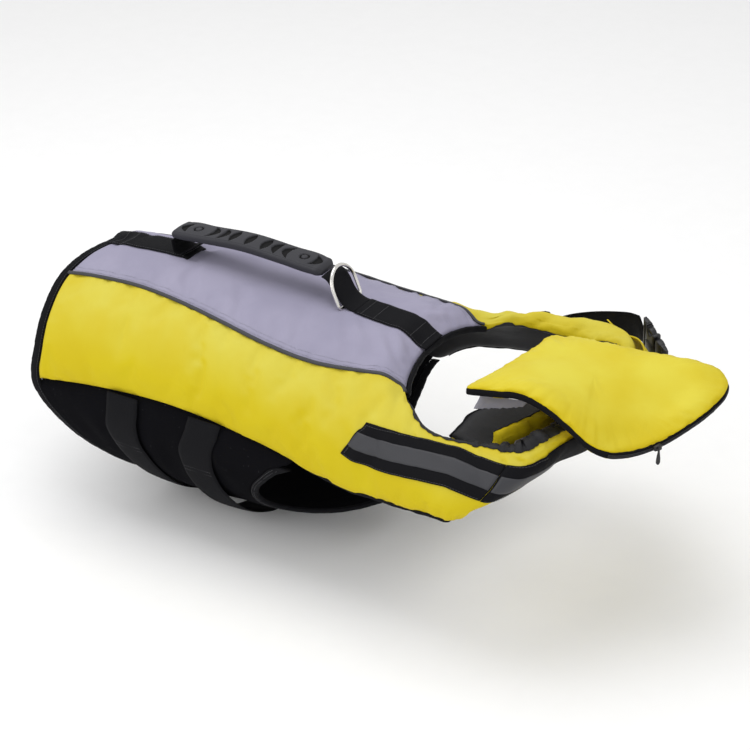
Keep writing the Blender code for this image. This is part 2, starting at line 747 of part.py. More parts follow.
tail_end = inside_tail(angle_of_y(-216 * MM, RIBBON)) + GAP
plain_wall("spine_webbing_rear", back_ribbon(tail_end, -112 * MM, 8), 1,
           BACK_TOP, GAP, WEBBING_BLACK)


def flat_ribbon(name, line, width, thickness, surface):
    """Webbing that follows a line in the middle plane; the line is its middle."""
    ahead = unit(np.gradient(line, axis=0))
    ups = unit(np.cross(ahead, [0, 1, 0]))
    sides = np.broadcast_to([0, 1.0, 0], line.shape)
    outline = [
        (-width / 2, -thickness / 2), (width / 2, -thickness / 2),
        (width / 2, thickness / 2), (-width / 2, thickness / 2),
    ]
    bar(name, section_loops(line, sides, ups, outline), surface)


def middle_line(rows, spacing):
    """Points about spacing apart along a table of x and z."""
    line = np.stack([rows["x"], 0 * rows["x"], rows["z"]], axis=1)
    walked = np.concatenate([[0], np.cumsum(np.linalg.norm(np.diff(line, axis=0), axis=1))])
    count = round(walked[-1] / spacing) + 1
    return smooth(walked, line, np.linspace(0, walked[-1], count))


flat_ribbon("handle_webbing_rear", middle_line(HANDLE_REAR, 4 * MM), WEBBING - 2 * MM,
            WEBBING_THICK, WEBBING_BLACK)
flat_ribbon("handle_webbing_front", middle_line(HANDLE_FRONT, 4 * MM), WEBBING - 2 * MM,
            WEBBING_THICK, WEBBING_BLACK)
plain_wall("spine_webbing_front", back_ribbon(101 * MM, 184 * MM, 10), 1,
           BACK_TOP, GAP, WEBBING_BLACK)


def grip_read(column, x):
    return smooth(GRIP["x"], GRIP[column], x)


def grip_body():
    """The grip: a flat bar with round edges, arched along the spine."""
    x = np.concatenate([
        np.array([-136, -134, -130]) * MM, np.linspace(-124 * MM, 45 * MM, 14),
        np.array([51, 55, 57]) * MM,
    ])
    half, low, thick = (grip_read(name, x) for name in ("half_width", "low", "thick"))
    across = np.array([-1, -0.93, -0.5, 0.5, 0.93, 1, 1, 0.9, -0.9, -1])
    lift = np.array([0.72, 0.93, 1.0, 1.0, 0.93, 0.72, 0.25, 0, 0, 0.25])
    loops = np.stack([
        np.repeat(x[:, None], len(across), axis=1),
        half[:, None] * across, low[:, None] + thick[:, None] * lift,
    ], axis=-1)
    return bar("handle_grip", loops, RUBBER)


def lens(half_length, half_width, bend, count=9):
    """Outline of a lens across the grip; bend curves it into a crescent."""
    y = np.linspace(-half_length, half_length, count)
    curve = 1 - (y / half_length) ** 2
    front = np.stack([bend * curve + half_width * curve, y], axis=1)
    rear = np.stack([bend * curve - half_width * curve, y], axis=1)[1:-1][::-1]
    return np.concatenate([front, rear])


GRIP_MIDDLE = -39.5 * MM
RECESS = 2.4 * MM
# Recesses from the middle of the grip to its end; each end mirrors the other.
RECESSES = table(
    "from_middle_mm half_length_mm half_width_mm bend_mm",
    (20, 13, 4.2, 0), (37, 13, 3.6, 5), (53, 13.5, 3.6, 8), (78, 11.5, 4.0, -7),
)


def prism(outline, place):
    """A closed cutter through the grip's top, RECESS deep at its middle."""
    top = grip_read("low", place) + grip_read("thick", place)
    outline = outline + [place, 0]
    count = len(outline)
    low = np.column_stack([outline, np.full(count, top - RECESS)])
    high = np.column_stack([outline, np.full(count, top + 6 * MM)])
    faces = [list(range(count)), [count + k for k in reversed(range(count))]]
    faces += [[k, (k + 1) % count, count + (k + 1) % count, count + k] for k in range(count)]
    return np.concatenate([low, high]), faces


def recess_cutter():
    shapes = [prism(lens(13 * MM, 4.2 * MM, 0), GRIP_MIDDLE)]
    for end in (-1, 1):
        for offset, length, width, bend in zip(*RECESSES.values()):
            shapes.append(prism(lens(length, width, -end * bend), GRIP_MIDDLE + end * offset))
        turn = np.linspace(0, 2 * math.pi, 13)[:-1]
        eye = 3.0 * MM * np.stack([np.cos(turn), np.sin(turn)], axis=1)
        shapes.append(prism(eye, GRIP_MIDDLE + end * 68 * MM))
    points, faces = [], []
    for shape_points, shape_faces in shapes:
        faces += [[k + len(points) for k in face] for face in shape_faces]
        points += list(shape_points)
    cutter = add_object("grip_recess_cutter", points, faces, RUBBER)
    cutter.hide_render = True
    cutter.display_type = "WIRE"
    return cutter


grip = grip_body()
cut = grip.modifiers.new("recesses", "BOOLEAN")
cut.operation = "DIFFERENCE"
cut.object = recess_cutter()


def d_ring():
    """A wire ring with a straight bar, upright in its own frame, then leaned to the tail."""
    corner = 5 * MM
    bow = RING_HALF_WIDTH
    y, z = [], []

    def arc(centre_y, centre_z, radius, start, finish, count):
        for turn in np.radians(np.linspace(start, finish, count)):
            y.append(centre_y + radius * math.cos(turn))
            z.append(centre_z + radius * math.sin(turn))

    straight = RING_HEIGHT - bow
    arc(bow - corner, corner, corner, -90, 0, 4)
    arc(0, straight, bow, 0, 180, 17)
    arc(corner - bow, corner, corner, 180, 270, 4)
    y += [-10 * MM, 0, 10 * MM]
    z += [0, 0, 0]
    line = np.stack([0 * np.array(y), y, z], axis=1)
    ups = np.broadcast_to([1.0, 0, 0], line.shape)
    turn = np.linspace(0, 2 * math.pi, 9)[:-1]
    outline = RING_WIRE / 2 * np.stack([np.cos(turn), np.sin(turn)], axis=1)
    loops = section_loops(line, sides_of(line, ups, closed=True), ups, outline)
    lean = np.array([
        [math.cos(RING_LEAN), 0, -math.sin(RING_LEAN)], [0, 1, 0],
        [math.sin(RING_LEAN), 0, math.cos(RING_LEAN)],
    ])
    bar("d_ring", loops @ lean.T + RING_BAR, NICKEL, closed=True, origin=tuple(RING_BAR))


d_ring()


# ---------------------------------------------------------------- belly straps and buckles

BUCKLE_LENGTH = 52 * MM
BUCKLE_THICK = 9 * MM
BUCKLE_ANGLE = math.radians(118)     # where the belly buckles sit on the left side
# Each strap's place down the belly, and its slack from the left seam round to the right one.
BELLY_STRAPS = {
    "rear": (
        table("angle_deg x_mm", (86, -118), (104, -123), (114, -116), (125, -108), (145, -100),
              (180, -97)),
        table("angle_deg lift_mm", (88, 1.7), (97, 1.7), (112, 6), (128, 10), (150, 10), (180, 6),
              (210, 3.5), (245, 2), (274, 1.7)),
    ),
    "front": (
        table("angle_deg x_mm", (86, -10), (100, -25), (113, -24), (127, -18), (145, -11),
              (180, -7)),
        table("angle_deg lift_mm", (88, 1.7), (97, 1.7), (112, 6), (128, 11), (150, 13), (180, 11),
              (210, 9), (235, 5), (262, 1.7), (274, 1.7)),
    ),
}


def strap_line(strap, start, finish, count):
    """Middle, across and outward vectors of a belly strap between two angles."""
    place, slack = strap
    angle = np.linspace(start, finish, count)
    turned = np.abs(wrapped(angle))
    points, along, ups = body_frame(smooth(place["angle"], place["x"], turned), angle)
    lift = smooth(slack["angle"], slack["lift"], angle)
    return points + ups * lift[:, None], along, ups


def strap_outline(width, thickness=WEBBING_THICK):
    half, deep = width / 2, thickness / 2
    return [(-half, -deep), (half, -deep), (half, deep), (-half, deep)]


def rounded_plate(length, width, thickness, corner, place, axes):
    """Points and faces of a plate with rounded plan corners; axes are length, width, up."""
    outline = []
    for quarter in range(4):
        centre = np.array([
            (length / 2 - corner) * (1 if quarter in (0, 3) else -1),
            (width / 2 - corner) * (1 if quarter in (0, 1) else -1),
        ])
        for turn in np.radians(90 * quarter + np.array([0, 45, 90])):
            outline.append(centre + corner * np.array([math.cos(turn), math.sin(turn)]))
    outline = np.array(outline)
    layers = ((0.86, -0.5), (1, -0.3), (1, 0.3), (0.86, 0.5))
    loops = np.stack([
        place + (outline * shrink)[:, :1] * axes[0] + (outline * shrink)[:, 1:] * axes[1]
        + thickness * up * axes[2] for shrink, up in layers
    ])
    return loops


def buckle(name, middle, along, width_axis, length=BUCKLE_LENGTH,
           width=BELLY_WEBBING + 9 * MM):
    """A fastened side-release buckle in two halves, along the strap."""
    up = unit(np.cross(along, width_axis))
    axes = along, width_axis, up
    socket, plug = 0.58 * length, 0.42 * length
    bar(f"{name}_socket",
        rounded_plate(socket - GAP, width, BUCKLE_THICK, 6 * MM,
                      middle - along * (length - socket) / 2, axes), PLASTIC)
    bar(f"{name}_plug",
        rounded_plate(plug - GAP, width - 5 * MM, BUCKLE_THICK - 2 * MM, 5 * MM,
                      middle + along * (length - plug) / 2, axes), PLASTIC)


for label, strap in BELLY_STRAPS.items():
    half_angle = (BUCKLE_LENGTH / 2 + 1.5 * MM) / (150 * MM)
    seam = math.radians(86)
    for end, start, finish, count in (
        ("", -seam + 2 * math.pi, BUCKLE_ANGLE + half_angle, 22),
        ("_end", BUCKLE_ANGLE - half_angle, seam, 4),
    ):
        points, along, ups = strap_line(strap, start, finish, count)
        section = section_loops(points, along, ups, strap_outline(BELLY_WEBBING))
        bar(f"belly_strap_{label}{end}", section, WEBBING_BLACK)
    points, along, ups = strap_line(strap, BUCKLE_ANGLE - 0.02, BUCKLE_ANGLE + 0.02, 3)
    buckle(f"belly_buckle_{label}", points[1] + ups[1] * 2.5 * MM, unit(points[0] - points[2]), along[1])


# ---------------------------------------------------------------- reflective webbing, front strap

SEWN_GAP = 0.6 * MM                  # air under webbing that is sewn to a panel
WEBBING_LAYER = (SEWN_GAP, SEWN_GAP + WEBBING_THICK)
STRIPE_LAYER = (SEWN_GAP + WEBBING_THICK + GAP, SEWN_GAP + WEBBING_THICK + GAP + STRIPE_THICK)
ALL_LINES = slice(1, 5)              # grid columns of the webbing's edges and its stripe's
STRIPE_LINES = slice(2, 4)


def cut_rows(grid, start, finish, leans):
    """The rows of a grid between two places counted in rows.

    Both end rows lean: their points move back towards the last column by a share of a row.
    """
    def row_at(place, lean):
        places = place - lean * np.linspace(0, 1, grid.shape[1])
        low = np.clip(np.floor(places).astype(int), 0, len(grid) - 2)
        column = np.arange(grid.shape[1])
        return mix(grid[low, column], grid[low + 1, column], (places - low)[:, None])

    whole = grid[math.floor(start) + 1:math.ceil(finish - leans[1])]
    return np.concatenate([
        row_at(start, leans[0])[None], whole, row_at(finish, leans[1])[None],
    ])


def lay(name, grid, facing, lines, ends, leans, layer, surface, lift=None):
    """A strip lying on a grid: lines picks its columns, ends its rows, layer its heights."""
    normals = grid_normals(grid, facing)
    raised = 0 if lift is None else lift[:, None, None]
    top, bottom = (
        cut_rows((grid + normals * (height + raised))[:, lines], *ends, leans)
        for height in layer[::-1]
    )
    wall(name, top, bottom, surface)


def row_of(stations, station):
    return np.interp(station, stations, np.arange(len(stations)))


right_arm, left_arm = SIDES[RIGHT], SIDES[LEFT]
flap_rows = right_arm.stations(right_arm.first_arm + FOAM_END[RIGHT], right_arm.last, 17 * MM)[1:]
flap = right_arm.at(flap_rows, side_shares(right_arm, flap_rows))
right_grid = np.concatenate([side_grids[RIGHT], flap])
right_rows = np.concatenate([side_rows[RIGHT], flap_rows])
left_grid = side_grids[LEFT]

# Every cut end lies between two rows, so that the webbing follows the panel under it.
raw_end = math.floor(row_of(side_rows[RIGHT], right_arm.station_of_x(185 * MM))) + 0.95
overlap = math.floor(row_of(right_rows, right_arm.first_arm + 1.45)) + 0.93
leaves = math.floor(row_of(side_rows[LEFT], left_arm.station_of_x(246 * MM))) + 1
for name, lines, layer, surface, inset, raw_lean, lean in (
    ("webbing", ALL_LINES, WEBBING_LAYER, WEBBING_BLACK, 0, 1.7, 0.9),
    ("stripe", STRIPE_LINES, STRIPE_LAYER, REFLECTIVE, 0.33, 0.6, 0.3),
):
    ends = raw_end - 2 * inset, overlap - inset
    lay(f"arm_{name}_right", right_grid, FOAM_FACING[RIGHT], lines, ends, (raw_lean, lean),
        layer, surface)
    ends = raw_end - 2 * inset, leaves
    lay(f"arm_{name}_left", left_grid, FOAM_FACING[LEFT], lines, ends, (raw_lean, 0),
        layer, surface)

strap_end = row_of(right_rows, right_arm.first_arm + 9.0)
sewn_to = strap_end - 4.2            # the strap leaves the band here and rises to its buckle
strap_share = (np.arange(len(right_grid)) - sewn_to) / (strap_end - sewn_to)
strap_lift = 15 * MM * ease(strap_share) ** 1.3
lay("front_strap", right_grid, FOAM_FACING[RIGHT], ALL_LINES, (overlap + 0.05, strap_end),
    (0.9, 0), WEBBING_LAYER, WEBBING_BLACK, lift=strap_lift)
lay("front_stripe", right_grid, FOAM_FACING[RIGHT], STRIPE_LINES, (overlap - 0.28, sewn_to - 0.3),
    (0.3, 0), STRIPE_LAYER, REFLECTIVE)

flap_grid = np.concatenate([mix(side_grids[RIGHT][-1], flap[0], 0.06)[None], flap])
plain_wall("band_flap", flap_grid, FOAM_FACING[RIGHT], 0, -2 * MM, YELLOW)

FRONT_BUCKLE = np.array([374.5, 149.5, -41.0]) * MM
FRONT_BUCKLE_AXIS = unit(np.array([0.76, -0.57, -0.32]))
FRONT_BUCKLE_UP = np.array([0.10, -0.35, 0.93])
buckle_up = unit(FRONT_BUCKLE_UP - FRONT_BUCKLE_AXIS * (FRONT_BUCKLE_UP @ FRONT_BUCKLE_AXIS))
buckle("front_buckle", FRONT_BUCKLE, FRONT_BUCKLE_AXIS, buckle_up, width=ARM_WEBBING + 10 * MM)

FRONT_STRAP_LEFT = table(      # top edge of the strap that leaves the left arm
    "x_mm y_mm z_mm", (250, 156, -40), (266, 165, -34), (290, 173, -28), (316, 179, -24),
    (332, 176, -20), (345, 171, -18),
)


def left_strap():
    """The strap from the left arm to the front buckle, round the end of the right arm."""
    top = np.stack([FRONT_STRAP_LEFT[axis] for axis in "xyz"], axis=1)
    walked = np.concatenate([[0], np.cumsum(np.linalg.norm(np.diff(top, axis=0), axis=1))])
    top = smooth(walked, top, np.linspace(0, walked[-1], 12))
    ahead = unit(np.gradient(top, axis=0))
    turn = np.linspace(0, 1, len(top))[:, None]
    down = unit(mix(np.array([0, 0.5, -0.86]), -buckle_up, turn))
    down = unit(down - ahead * np.sum(down * ahead, axis=1, keepdims=True))
    outward = unit(np.cross(ahead, down))
    bar("front_strap_left",
        section_loops(top + down * ARM_WEBBING / 2, -down, outward, strap_outline(ARM_WEBBING)),
        WEBBING_BLACK)


left_strap()

lay("hook_strip", left_grid, FOAM_FACING[LEFT], slice(1, 4),
    (len(left_grid) - 7, len(left_grid) - 1.3), (0, 0), (SEWN_GAP, SEWN_GAP + 1.6 * MM), HOOK_TAPE)


# ---------------------------------------------------------------- chin float

PAD_RIM = table(      # middle of the float's edge, from its rear right corner round by the front
    "x_mm y_mm z_mm",
    (271, -89, -7), (301, -92, -1), (333, -92, 4), (361, -93, -3), (385, -92, -17),
    (405, -88, -33), (420, -74, -45), (433, -56, -50), (452, -30, -48), (474, 0, -35),
    (487, 30, -25), (490, 52, -20), (486, 68, -17), (474, 77, -12), (452, 80, -10),
    (398, 80, -12), (342, 80, -15), (306, 80, -18), (293, 74, -18), (290, 58, -13),
    (289, 28, -10), (284, 0, -10), (278, -30, -11), (271, -60, -12), (268, -78, -11),
)
AROUND_PAD = 44
ZIP_BAND = 2.2 * MM
PAD_UNDER = 3 * MM        # how far the lower face swells
PAD_RINGS = table(
    "share rise", (1.0, 0.0), (0.94, 0.45), (0.84, 0.78), (0.66, 0.95), (0.38, 1.0), (0.1, 1.0),
)


def pad_rim(inset=0.0, lift=0.0):
    """The float's edge as a closed smooth loop of points, moved in and up."""
    corners = np.stack([PAD_RIM[axis] for axis in "xyz"], axis=1)
    ring = np.concatenate([corners[-3:], corners, corners[:4]])
    walked = np.concatenate([[0], np.cumsum(np.linalg.norm(np.diff(ring, axis=0), axis=1))])
    start, finish = walked[3], walked[3 + len(corners)]
    loop = smooth(walked, ring, np.linspace(start, finish, AROUND_PAD + 1)[:-1])
    ahead = unit(np.roll(loop, -1, axis=0)[:, :2] - np.roll(loop, 1, axis=0)[:, :2])
    inward = np.column_stack([-ahead[:, 1], ahead[:, 0], np.zeros(len(loop))])
    return loop + inset * inward + np.array([0, 0, lift])


def pad_height(points):
    """Height inside the float: a mean of its edge's heights, in which nearer ones count more."""
    rim = pad_rim()
    away = points[:, None, :2] - rim[None, :, :2]
    away = np.hypot(away[..., 0], 0.45 * away[..., 1])
    weight = 1 / (away**2 + (4 * MM) ** 2) ** 1.3
    return (weight @ rim[:, 2]) / weight.sum(axis=1)


def pad_loops(side, swell):
    """Loops from the float's edge to its middle on its upper (1) or lower (-1) face."""
    edge = pad_rim(ZIP_BAND + GAP)
    centre = np.array([372, -6, 0]) * MM
    loops = []
    for share, rise in zip(PAD_RINGS["share"], PAD_RINGS["rise"]):
        flat = mix(centre, edge, share)
        middle = mix(pad_height(flat), edge[:, 2], ease((share - 0.7) / 0.3))
        z = middle + side * (PAD_EDGE / 2 + swell * rise)
        loops.append(np.column_stack([flat[:, :2], z]))
    return loops


upper, lower = pad_loops(1, PAD_CROWN), pad_loops(-1, PAD_UNDER)
bar("chin_pad", np.array(upper[::-1] + lower), YELLOW)

half = PAD_EDGE / 2
band_loops = np.stack([
    pad_rim(0.7 * MM, half), pad_rim(0, half - 1.2 * MM), pad_rim(0, 1.2 * MM - half),
    pad_rim(0.7 * MM, -half), pad_rim(ZIP_BAND, -half), pad_rim(ZIP_BAND, half),
], axis=1)
bar("chin_zip_band", band_loops, WEBBING_BLACK, closed=True)

PULL_LENGTH = 20 * MM


def zip_slider():
    """The slider on the float's front edge and the tab that hangs from it."""
    loop = pad_rim()
    index = int(np.argmin(np.linalg.norm(loop - SLIDER_PLACE, axis=1)))
    ahead = unit(loop[(index + 1) % AROUND_PAD] - loop[index - 1])
    outward = unit(np.cross(ahead, [0, 0, 1.0]))
    up = unit(np.cross(outward, ahead))
    middle = loop[index] + outward * (GAP + 2.2 * MM)
    bar("zip_slider", rounded_plate(9 * MM, 7 * MM, 4 * MM, 2 * MM, middle, (ahead, up, outward)),
        PLASTIC)
    hinge = middle + outward * (2 * MM + GAP + 1.2 * MM) + up * 1.5 * MM
    down = np.array([0, 0, -1.0])
    side = unit(np.cross(outward, down))
    share = np.array([0, 0.08, 0.25, 0.5, 0.75, 0.93, 1.0])
    half_width = np.array([0.7, 1.0, 1.1, 1.9, 2.5, 1.9, 0.7]) * MM
    turn = np.linspace(0, 2 * math.pi, 9)[:-1]
    centres = hinge + down * (share[:, None] * PULL_LENGTH - 1 * MM)
    thick = 0.9 * MM * np.minimum(1, half_width / MM)
    loops = (
        centres[:, None]
        + half_width[:, None, None] * np.cos(turn)[None, :, None] * side
        + thick[:, None, None] * np.sin(turn)[None, :, None] * unit(np.cross(side, down))
    )
    bar("zip_pull", loops, PLASTIC, origin=tuple(hinge))


SLIDER_PLACE = np.array([452, -30, -48]) * MM
zip_slider()

TAB = table(      # the tab under the float: upper edge, then lower edge
    "top_x_mm top_y_mm top_z_mm low_x_mm low_y_mm low_z_mm",
    (274, -62, -22, 271, -70, -37), (292, -64, -19, 289, -70, -31), (312, -66, -16, 308, -70, -25),
    (330, -68, -12, 325, -70, -19),
)
tab_top = np.stack([TAB[f"top_{axis}"] for axis in "xyz"], axis=1)
tab_low = np.stack([TAB[f"low_{axis}"] for axis in "xyz"], axis=1)
tab_grid = np.stack([mix(tab_top, tab_low, share) for share in (0, 0.5, 1)], axis=1)
plain_wall("chin_tab", tab_grid, 1, 0.8 * MM, -0.8 * MM, HOOK_TAPE)
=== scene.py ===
import math

import bpy
import numpy as np
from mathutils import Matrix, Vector


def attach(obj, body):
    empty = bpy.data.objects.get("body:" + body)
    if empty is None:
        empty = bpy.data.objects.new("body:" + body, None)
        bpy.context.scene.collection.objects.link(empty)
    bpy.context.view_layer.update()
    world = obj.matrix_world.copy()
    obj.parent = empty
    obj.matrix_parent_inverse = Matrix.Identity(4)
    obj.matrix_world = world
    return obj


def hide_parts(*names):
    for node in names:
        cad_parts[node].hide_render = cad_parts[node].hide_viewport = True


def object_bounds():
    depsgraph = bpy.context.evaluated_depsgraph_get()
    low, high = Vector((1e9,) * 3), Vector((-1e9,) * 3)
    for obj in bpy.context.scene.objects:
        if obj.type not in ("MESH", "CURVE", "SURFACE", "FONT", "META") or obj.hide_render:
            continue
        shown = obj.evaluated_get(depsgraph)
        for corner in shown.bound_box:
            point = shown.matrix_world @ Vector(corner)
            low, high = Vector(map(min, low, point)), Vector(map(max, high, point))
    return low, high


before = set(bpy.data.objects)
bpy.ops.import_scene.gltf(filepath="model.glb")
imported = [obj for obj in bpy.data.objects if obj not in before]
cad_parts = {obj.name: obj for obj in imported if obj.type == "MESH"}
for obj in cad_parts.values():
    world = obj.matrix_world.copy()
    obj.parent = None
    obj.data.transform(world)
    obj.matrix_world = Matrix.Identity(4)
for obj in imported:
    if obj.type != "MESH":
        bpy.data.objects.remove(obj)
cad_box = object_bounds()


# ------------------------------------------------------------------ back panel
# The grey panel over the spine: woven polyester over closed-cell foam, sewn between the
# yellow sides, the tail binding and the neck binding. The cloth is cut a little larger
# than the foam, so it lies in soft folds that run in from its seams.

MM = 0.001
RIGHT, LEFT = -1, 1


def table(names, *rows):
    """Named columns: a name ending in _mm is read as millimetres, in _deg as degrees."""
    columns = {}
    for name, values in zip(names.split(), np.array(rows, dtype=float).T):
        if name.endswith("_mm"):
            columns[name[:-3]] = values * MM
        elif name.endswith("_deg"):
            columns[name[:-4]] = np.radians(values)
        else:
            columns[name] = values
    return columns


def smooth(places, values, at):
    """Cubic through values at rising places, held at both ends; values may be points."""
    slopes = np.gradient(values, places, axis=0)
    at = np.clip(np.asarray(at, dtype=float), places[0], places[-1])
    k = np.clip(np.searchsorted(places, at) - 1, 0, len(places) - 2)
    step = places[k + 1] - places[k]
    t = (at - places[k]) / step
    if values.ndim > 1:
        shape = t.shape + (1,) * (values.ndim - 1)
        t, step = t.reshape(shape), step.reshape(shape)
    return (
        (2 * t**3 - 3 * t**2 + 1) * values[k]
        + (t**3 - 2 * t**2 + t) * step * slopes[k]
        + (3 * t**2 - 2 * t**3) * values[k + 1]
        + (t**3 - t**2) * step * slopes[k + 1]
    )


def ease(value):
    """0 below 0, 1 above 1, and a soft step between."""
    value = np.clip(value, 0.0, 1.0)
    return value * value * (3 - 2 * value)


def mix(first, second, share):
    return first + (second - first) * share


def unit(vectors):
    return vectors / np.linalg.norm(vectors, axis=-1, keepdims=True)


# Sections across the body, from the tail hem to the shoulders.
BODY = table(
    "x_mm half_width_mm spine_z_mm belly_z_mm top_power belly_power",
    (-255, 132, 9, -230, 2.20, 2.1),
    (-200, 137, 14, -240, 2.35, 2.1),
    (-130, 140, 16, -246, 2.45, 2.1),
    (-50, 142, 14, -249, 2.50, 2.1),
    (30, 144, 9.5, -243, 2.50, 2.1),
    (100, 147, 3, -226, 2.45, 2.1),
    (150, 151, 0, -206, 2.40, 2.1),
    (200, 158, -3, -192, 2.30, 2.1),
    (250, 167, -5, -186, 2.20, 2.1),
    (310, 176, -6, -186, 2.10, 2.1),
)
BODY_MIDDLE_Z = -112.0 * MM   # height of the widest point of each section
# Angles round the section, 0 at the spine: the seam between grey and yellow.
TOP_EDGE = table(      # grey and yellow seam, then the neck edge of the arm
    "x_mm angle_deg",
    (-255, 31.5), (-219, 29.6), (-190, 28.6), (-135, 27.9), (-79, 29.9), (-23, 33.4),
    (32, 36.9), (82, 37.8), (106, 37.0), (150, 33.2), (186, 29.4), (196, 28.6),
    (203, 31.5), (209, 35.5), (218, 39.5), (234, 45.3), (252, 47.8), (275, 47.8), (310, 45.6),
)
TAIL_HEM = table(      # where the jacket ends over the tail
    "angle_deg x_mm",
    (0, -229), (14, -240), (29, -247), (52, -248), (74, -249), (92, -252), (101, -242),
    (113, -221), (123, -202), (131, -183), (145, -160), (162, -146), (180, -142),
)
NECK_HEM = table(      # neck edge of the back panel
    "angle_deg x_mm",
    (0, 184), (6, 185), (13, 188), (21, 193), (30, 201),
)
BINDING = 9.0 * MM            # width of the bound leg holes
TAIL_BINDING = 12.5 * MM      # width of the bound tail hem
GAP = 0.3 * MM                # air left between neighbouring pieces
GIRTH_RADIUS = 140 * MM               # turns a length round the body into an angle
SEAM_INSET = GAP / GIRTH_RADIUS       # half of a seam's gap
FOAM = 12.0 * MM              # thickness of the back and side panels
ARM_FOAM = 8.0 * MM           # the same towards the neck and on the arms


def wrapped(angle):
    """The same angle between -180 and 180 degrees."""
    return (np.asarray(angle, float) + math.pi) % (2 * math.pi) - math.pi


def body_point(x, angle):
    """Outer face of the jacket at station x; the angle is negative on the right side."""
    x, angle = np.broadcast_arrays(np.asarray(x, float), wrapped(angle))

    def read(column):
        return smooth(BODY["x"], BODY[column], x)

    sine, cosine = np.sin(np.abs(angle)), np.cos(angle)
    upper = cosine >= 0
    power = np.where(upper, read("top_power"), read("belly_power"))
    height = np.where(upper, read("spine_z") - BODY_MIDDLE_Z, BODY_MIDDLE_Z - read("belly_z"))
    y = read("half_width") * np.abs(sine) ** (2 / power)
    z = BODY_MIDDLE_Z + np.sign(cosine) * height * np.abs(cosine) ** (2 / power)

    # The collar rolls down over its last 38 mm, and less so beyond the grey panel.
    hem = 185 * MM + 18 * MM * (y / (84 * MM)) ** 2
    roll = ease((x - hem) / (38 * MM) + 1) ** 1.5 * (1 - ease((y - 85 * MM) / (30 * MM)))

    # The left side of the tail end sags.
    sag = ease((np.sign(angle) * y - 12 * MM) / (58 * MM)) * ease(cosine / 0.6)
    sag = sag * (1 - ease((x + 165 * MM) / (125 * MM)))
    return np.stack([x, np.sign(angle) * y, z - 13 * MM * roll - 11 * MM * sag], axis=-1)


HEM_BLEND = 60 * MM      # the rows within this of a hem bend towards it


def body_grid(stations, angle_at, shares, start=None, finish=None):
    """Points, stations and angles of a grid whose first and last rows follow two hems.

    angle_at(x, share) gives the angle; start and finish give the hem's x at an angle.
    """
    first, last = stations[0], stations[-1]
    x = np.repeat(np.asarray(stations, float)[:, None], len(shares), axis=1)
    base = x.copy()
    for _ in range(6):
        angle = angle_at(x, shares)
        shift = np.zeros_like(x)
        if start is not None:
            shift += (start(angle) - first) * (1 - ease((base - first) / HEM_BLEND))
        if finish is not None:
            shift += (finish(angle) - last) * (1 - ease((last - base) / HEM_BLEND))
        x = base + shift
    return body_point(x, angle_at(x, shares)), x, angle_at(x, shares)


def read_edge(edge, x):
    return smooth(edge["x"], edge["angle"], x)


def hem_x(edge, angle):
    return smooth(edge["angle"], edge["x"], np.abs(wrapped(angle)))


def hem_line(edge, angle, inset):
    """Station of a line that keeps a distance in from a hem; a leg hole's is negative."""
    slope = (hem_x(edge, angle + 0.02) - hem_x(edge, angle - 0.02)) / (0.04 * GIRTH_RADIUS)
    return hem_x(edge, angle) + inset * np.sqrt(1 + slope**2)


def inside_tail(angle):
    return hem_line(TAIL_HEM, angle, TAIL_BINDING + 2 * GAP)


def foam_at(x):
    return mix(FOAM, ARM_FOAM, ease((x - 110 * MM) / (60 * MM)))


def grid_normals(grid, facing):
    """Unit normals of a grid of points; facing is 1 or -1 and picks the side."""
    along = np.gradient(grid, axis=0)
    across = np.gradient(grid, axis=1)
    return unit(np.cross(along, across)) * facing


def back_angle(x, shares):
    return (read_edge(TOP_EDGE, x) - SEAM_INSET) * mix(-1, 1, shares)


def columns_for(width):
    """Shares across a panel: close together near both edges, then about 4 mm apart."""
    edge = np.array([0, 0.5, 1.4, 2.8, 4.6, 6.8, 9.4, 12.4]) * MM / width
    count = round((1 - 2 * edge[-1]) * width / (4 * MM))
    between = np.linspace(edge[-1], 1 - edge[-1], count + 1)
    return np.concatenate([edge[:-1], between, 1 - edge[:-1][::-1]])


def walked_along(grid, axis):
    """Length walked over a grid from its first row (axis 0) or column (axis 1)."""
    steps = np.linalg.norm(np.diff(grid, axis=axis), axis=-1)
    start = np.zeros_like(np.take(steps, [0], axis=axis))
    return np.concatenate([start, np.cumsum(steps, axis=axis)], axis=axis)


def edge_walks(grid):
    """Distances of each grid point from the first and last row and first and last column."""
    down, over = walked_along(grid, 0), walked_along(grid, 1)
    return [down, down[-1:] - down, over, over[:, -1:] - over]


def cloth_places(grid):
    """Weave coordinates in metres: across from the middle column, and along it."""
    over, down = walked_along(grid, 1), walked_along(grid, 0)
    middle = grid.shape[1] // 2
    across = over - over[:, middle:middle + 1]
    return np.stack([across, np.broadcast_to(down[:, middle:middle + 1], across.shape)], -1)


def turned_in(walks, most, soft):
    """Share of the thickness by which a face has rounded in, a quarter circle at each edge."""
    shares = []
    for walk, limit in zip(walks, most):
        near = np.clip(1 - walk / soft, 0, 1)
        shares.append(limit * (1 - np.sqrt(1 - near**2)))
    return np.max(shares, axis=0)


def uneven(points, size, seed):
    """Soft noise between about -1 and 1: six plane sine waves of near that size, summed."""
    draw = np.random.default_rng(seed)
    ways = unit(draw.normal(size=(6, 3)))
    lengths = size * draw.uniform(0.6, 1.5, 6)
    phases = draw.uniform(0, 2 * math.pi, 6)
    return np.sin(points @ (ways / lengths[:, None]).T * 2 * math.pi + phases).sum(-1) / 3.2


CREST = 6 * MM      # how far in from its seam a pucker stands highest


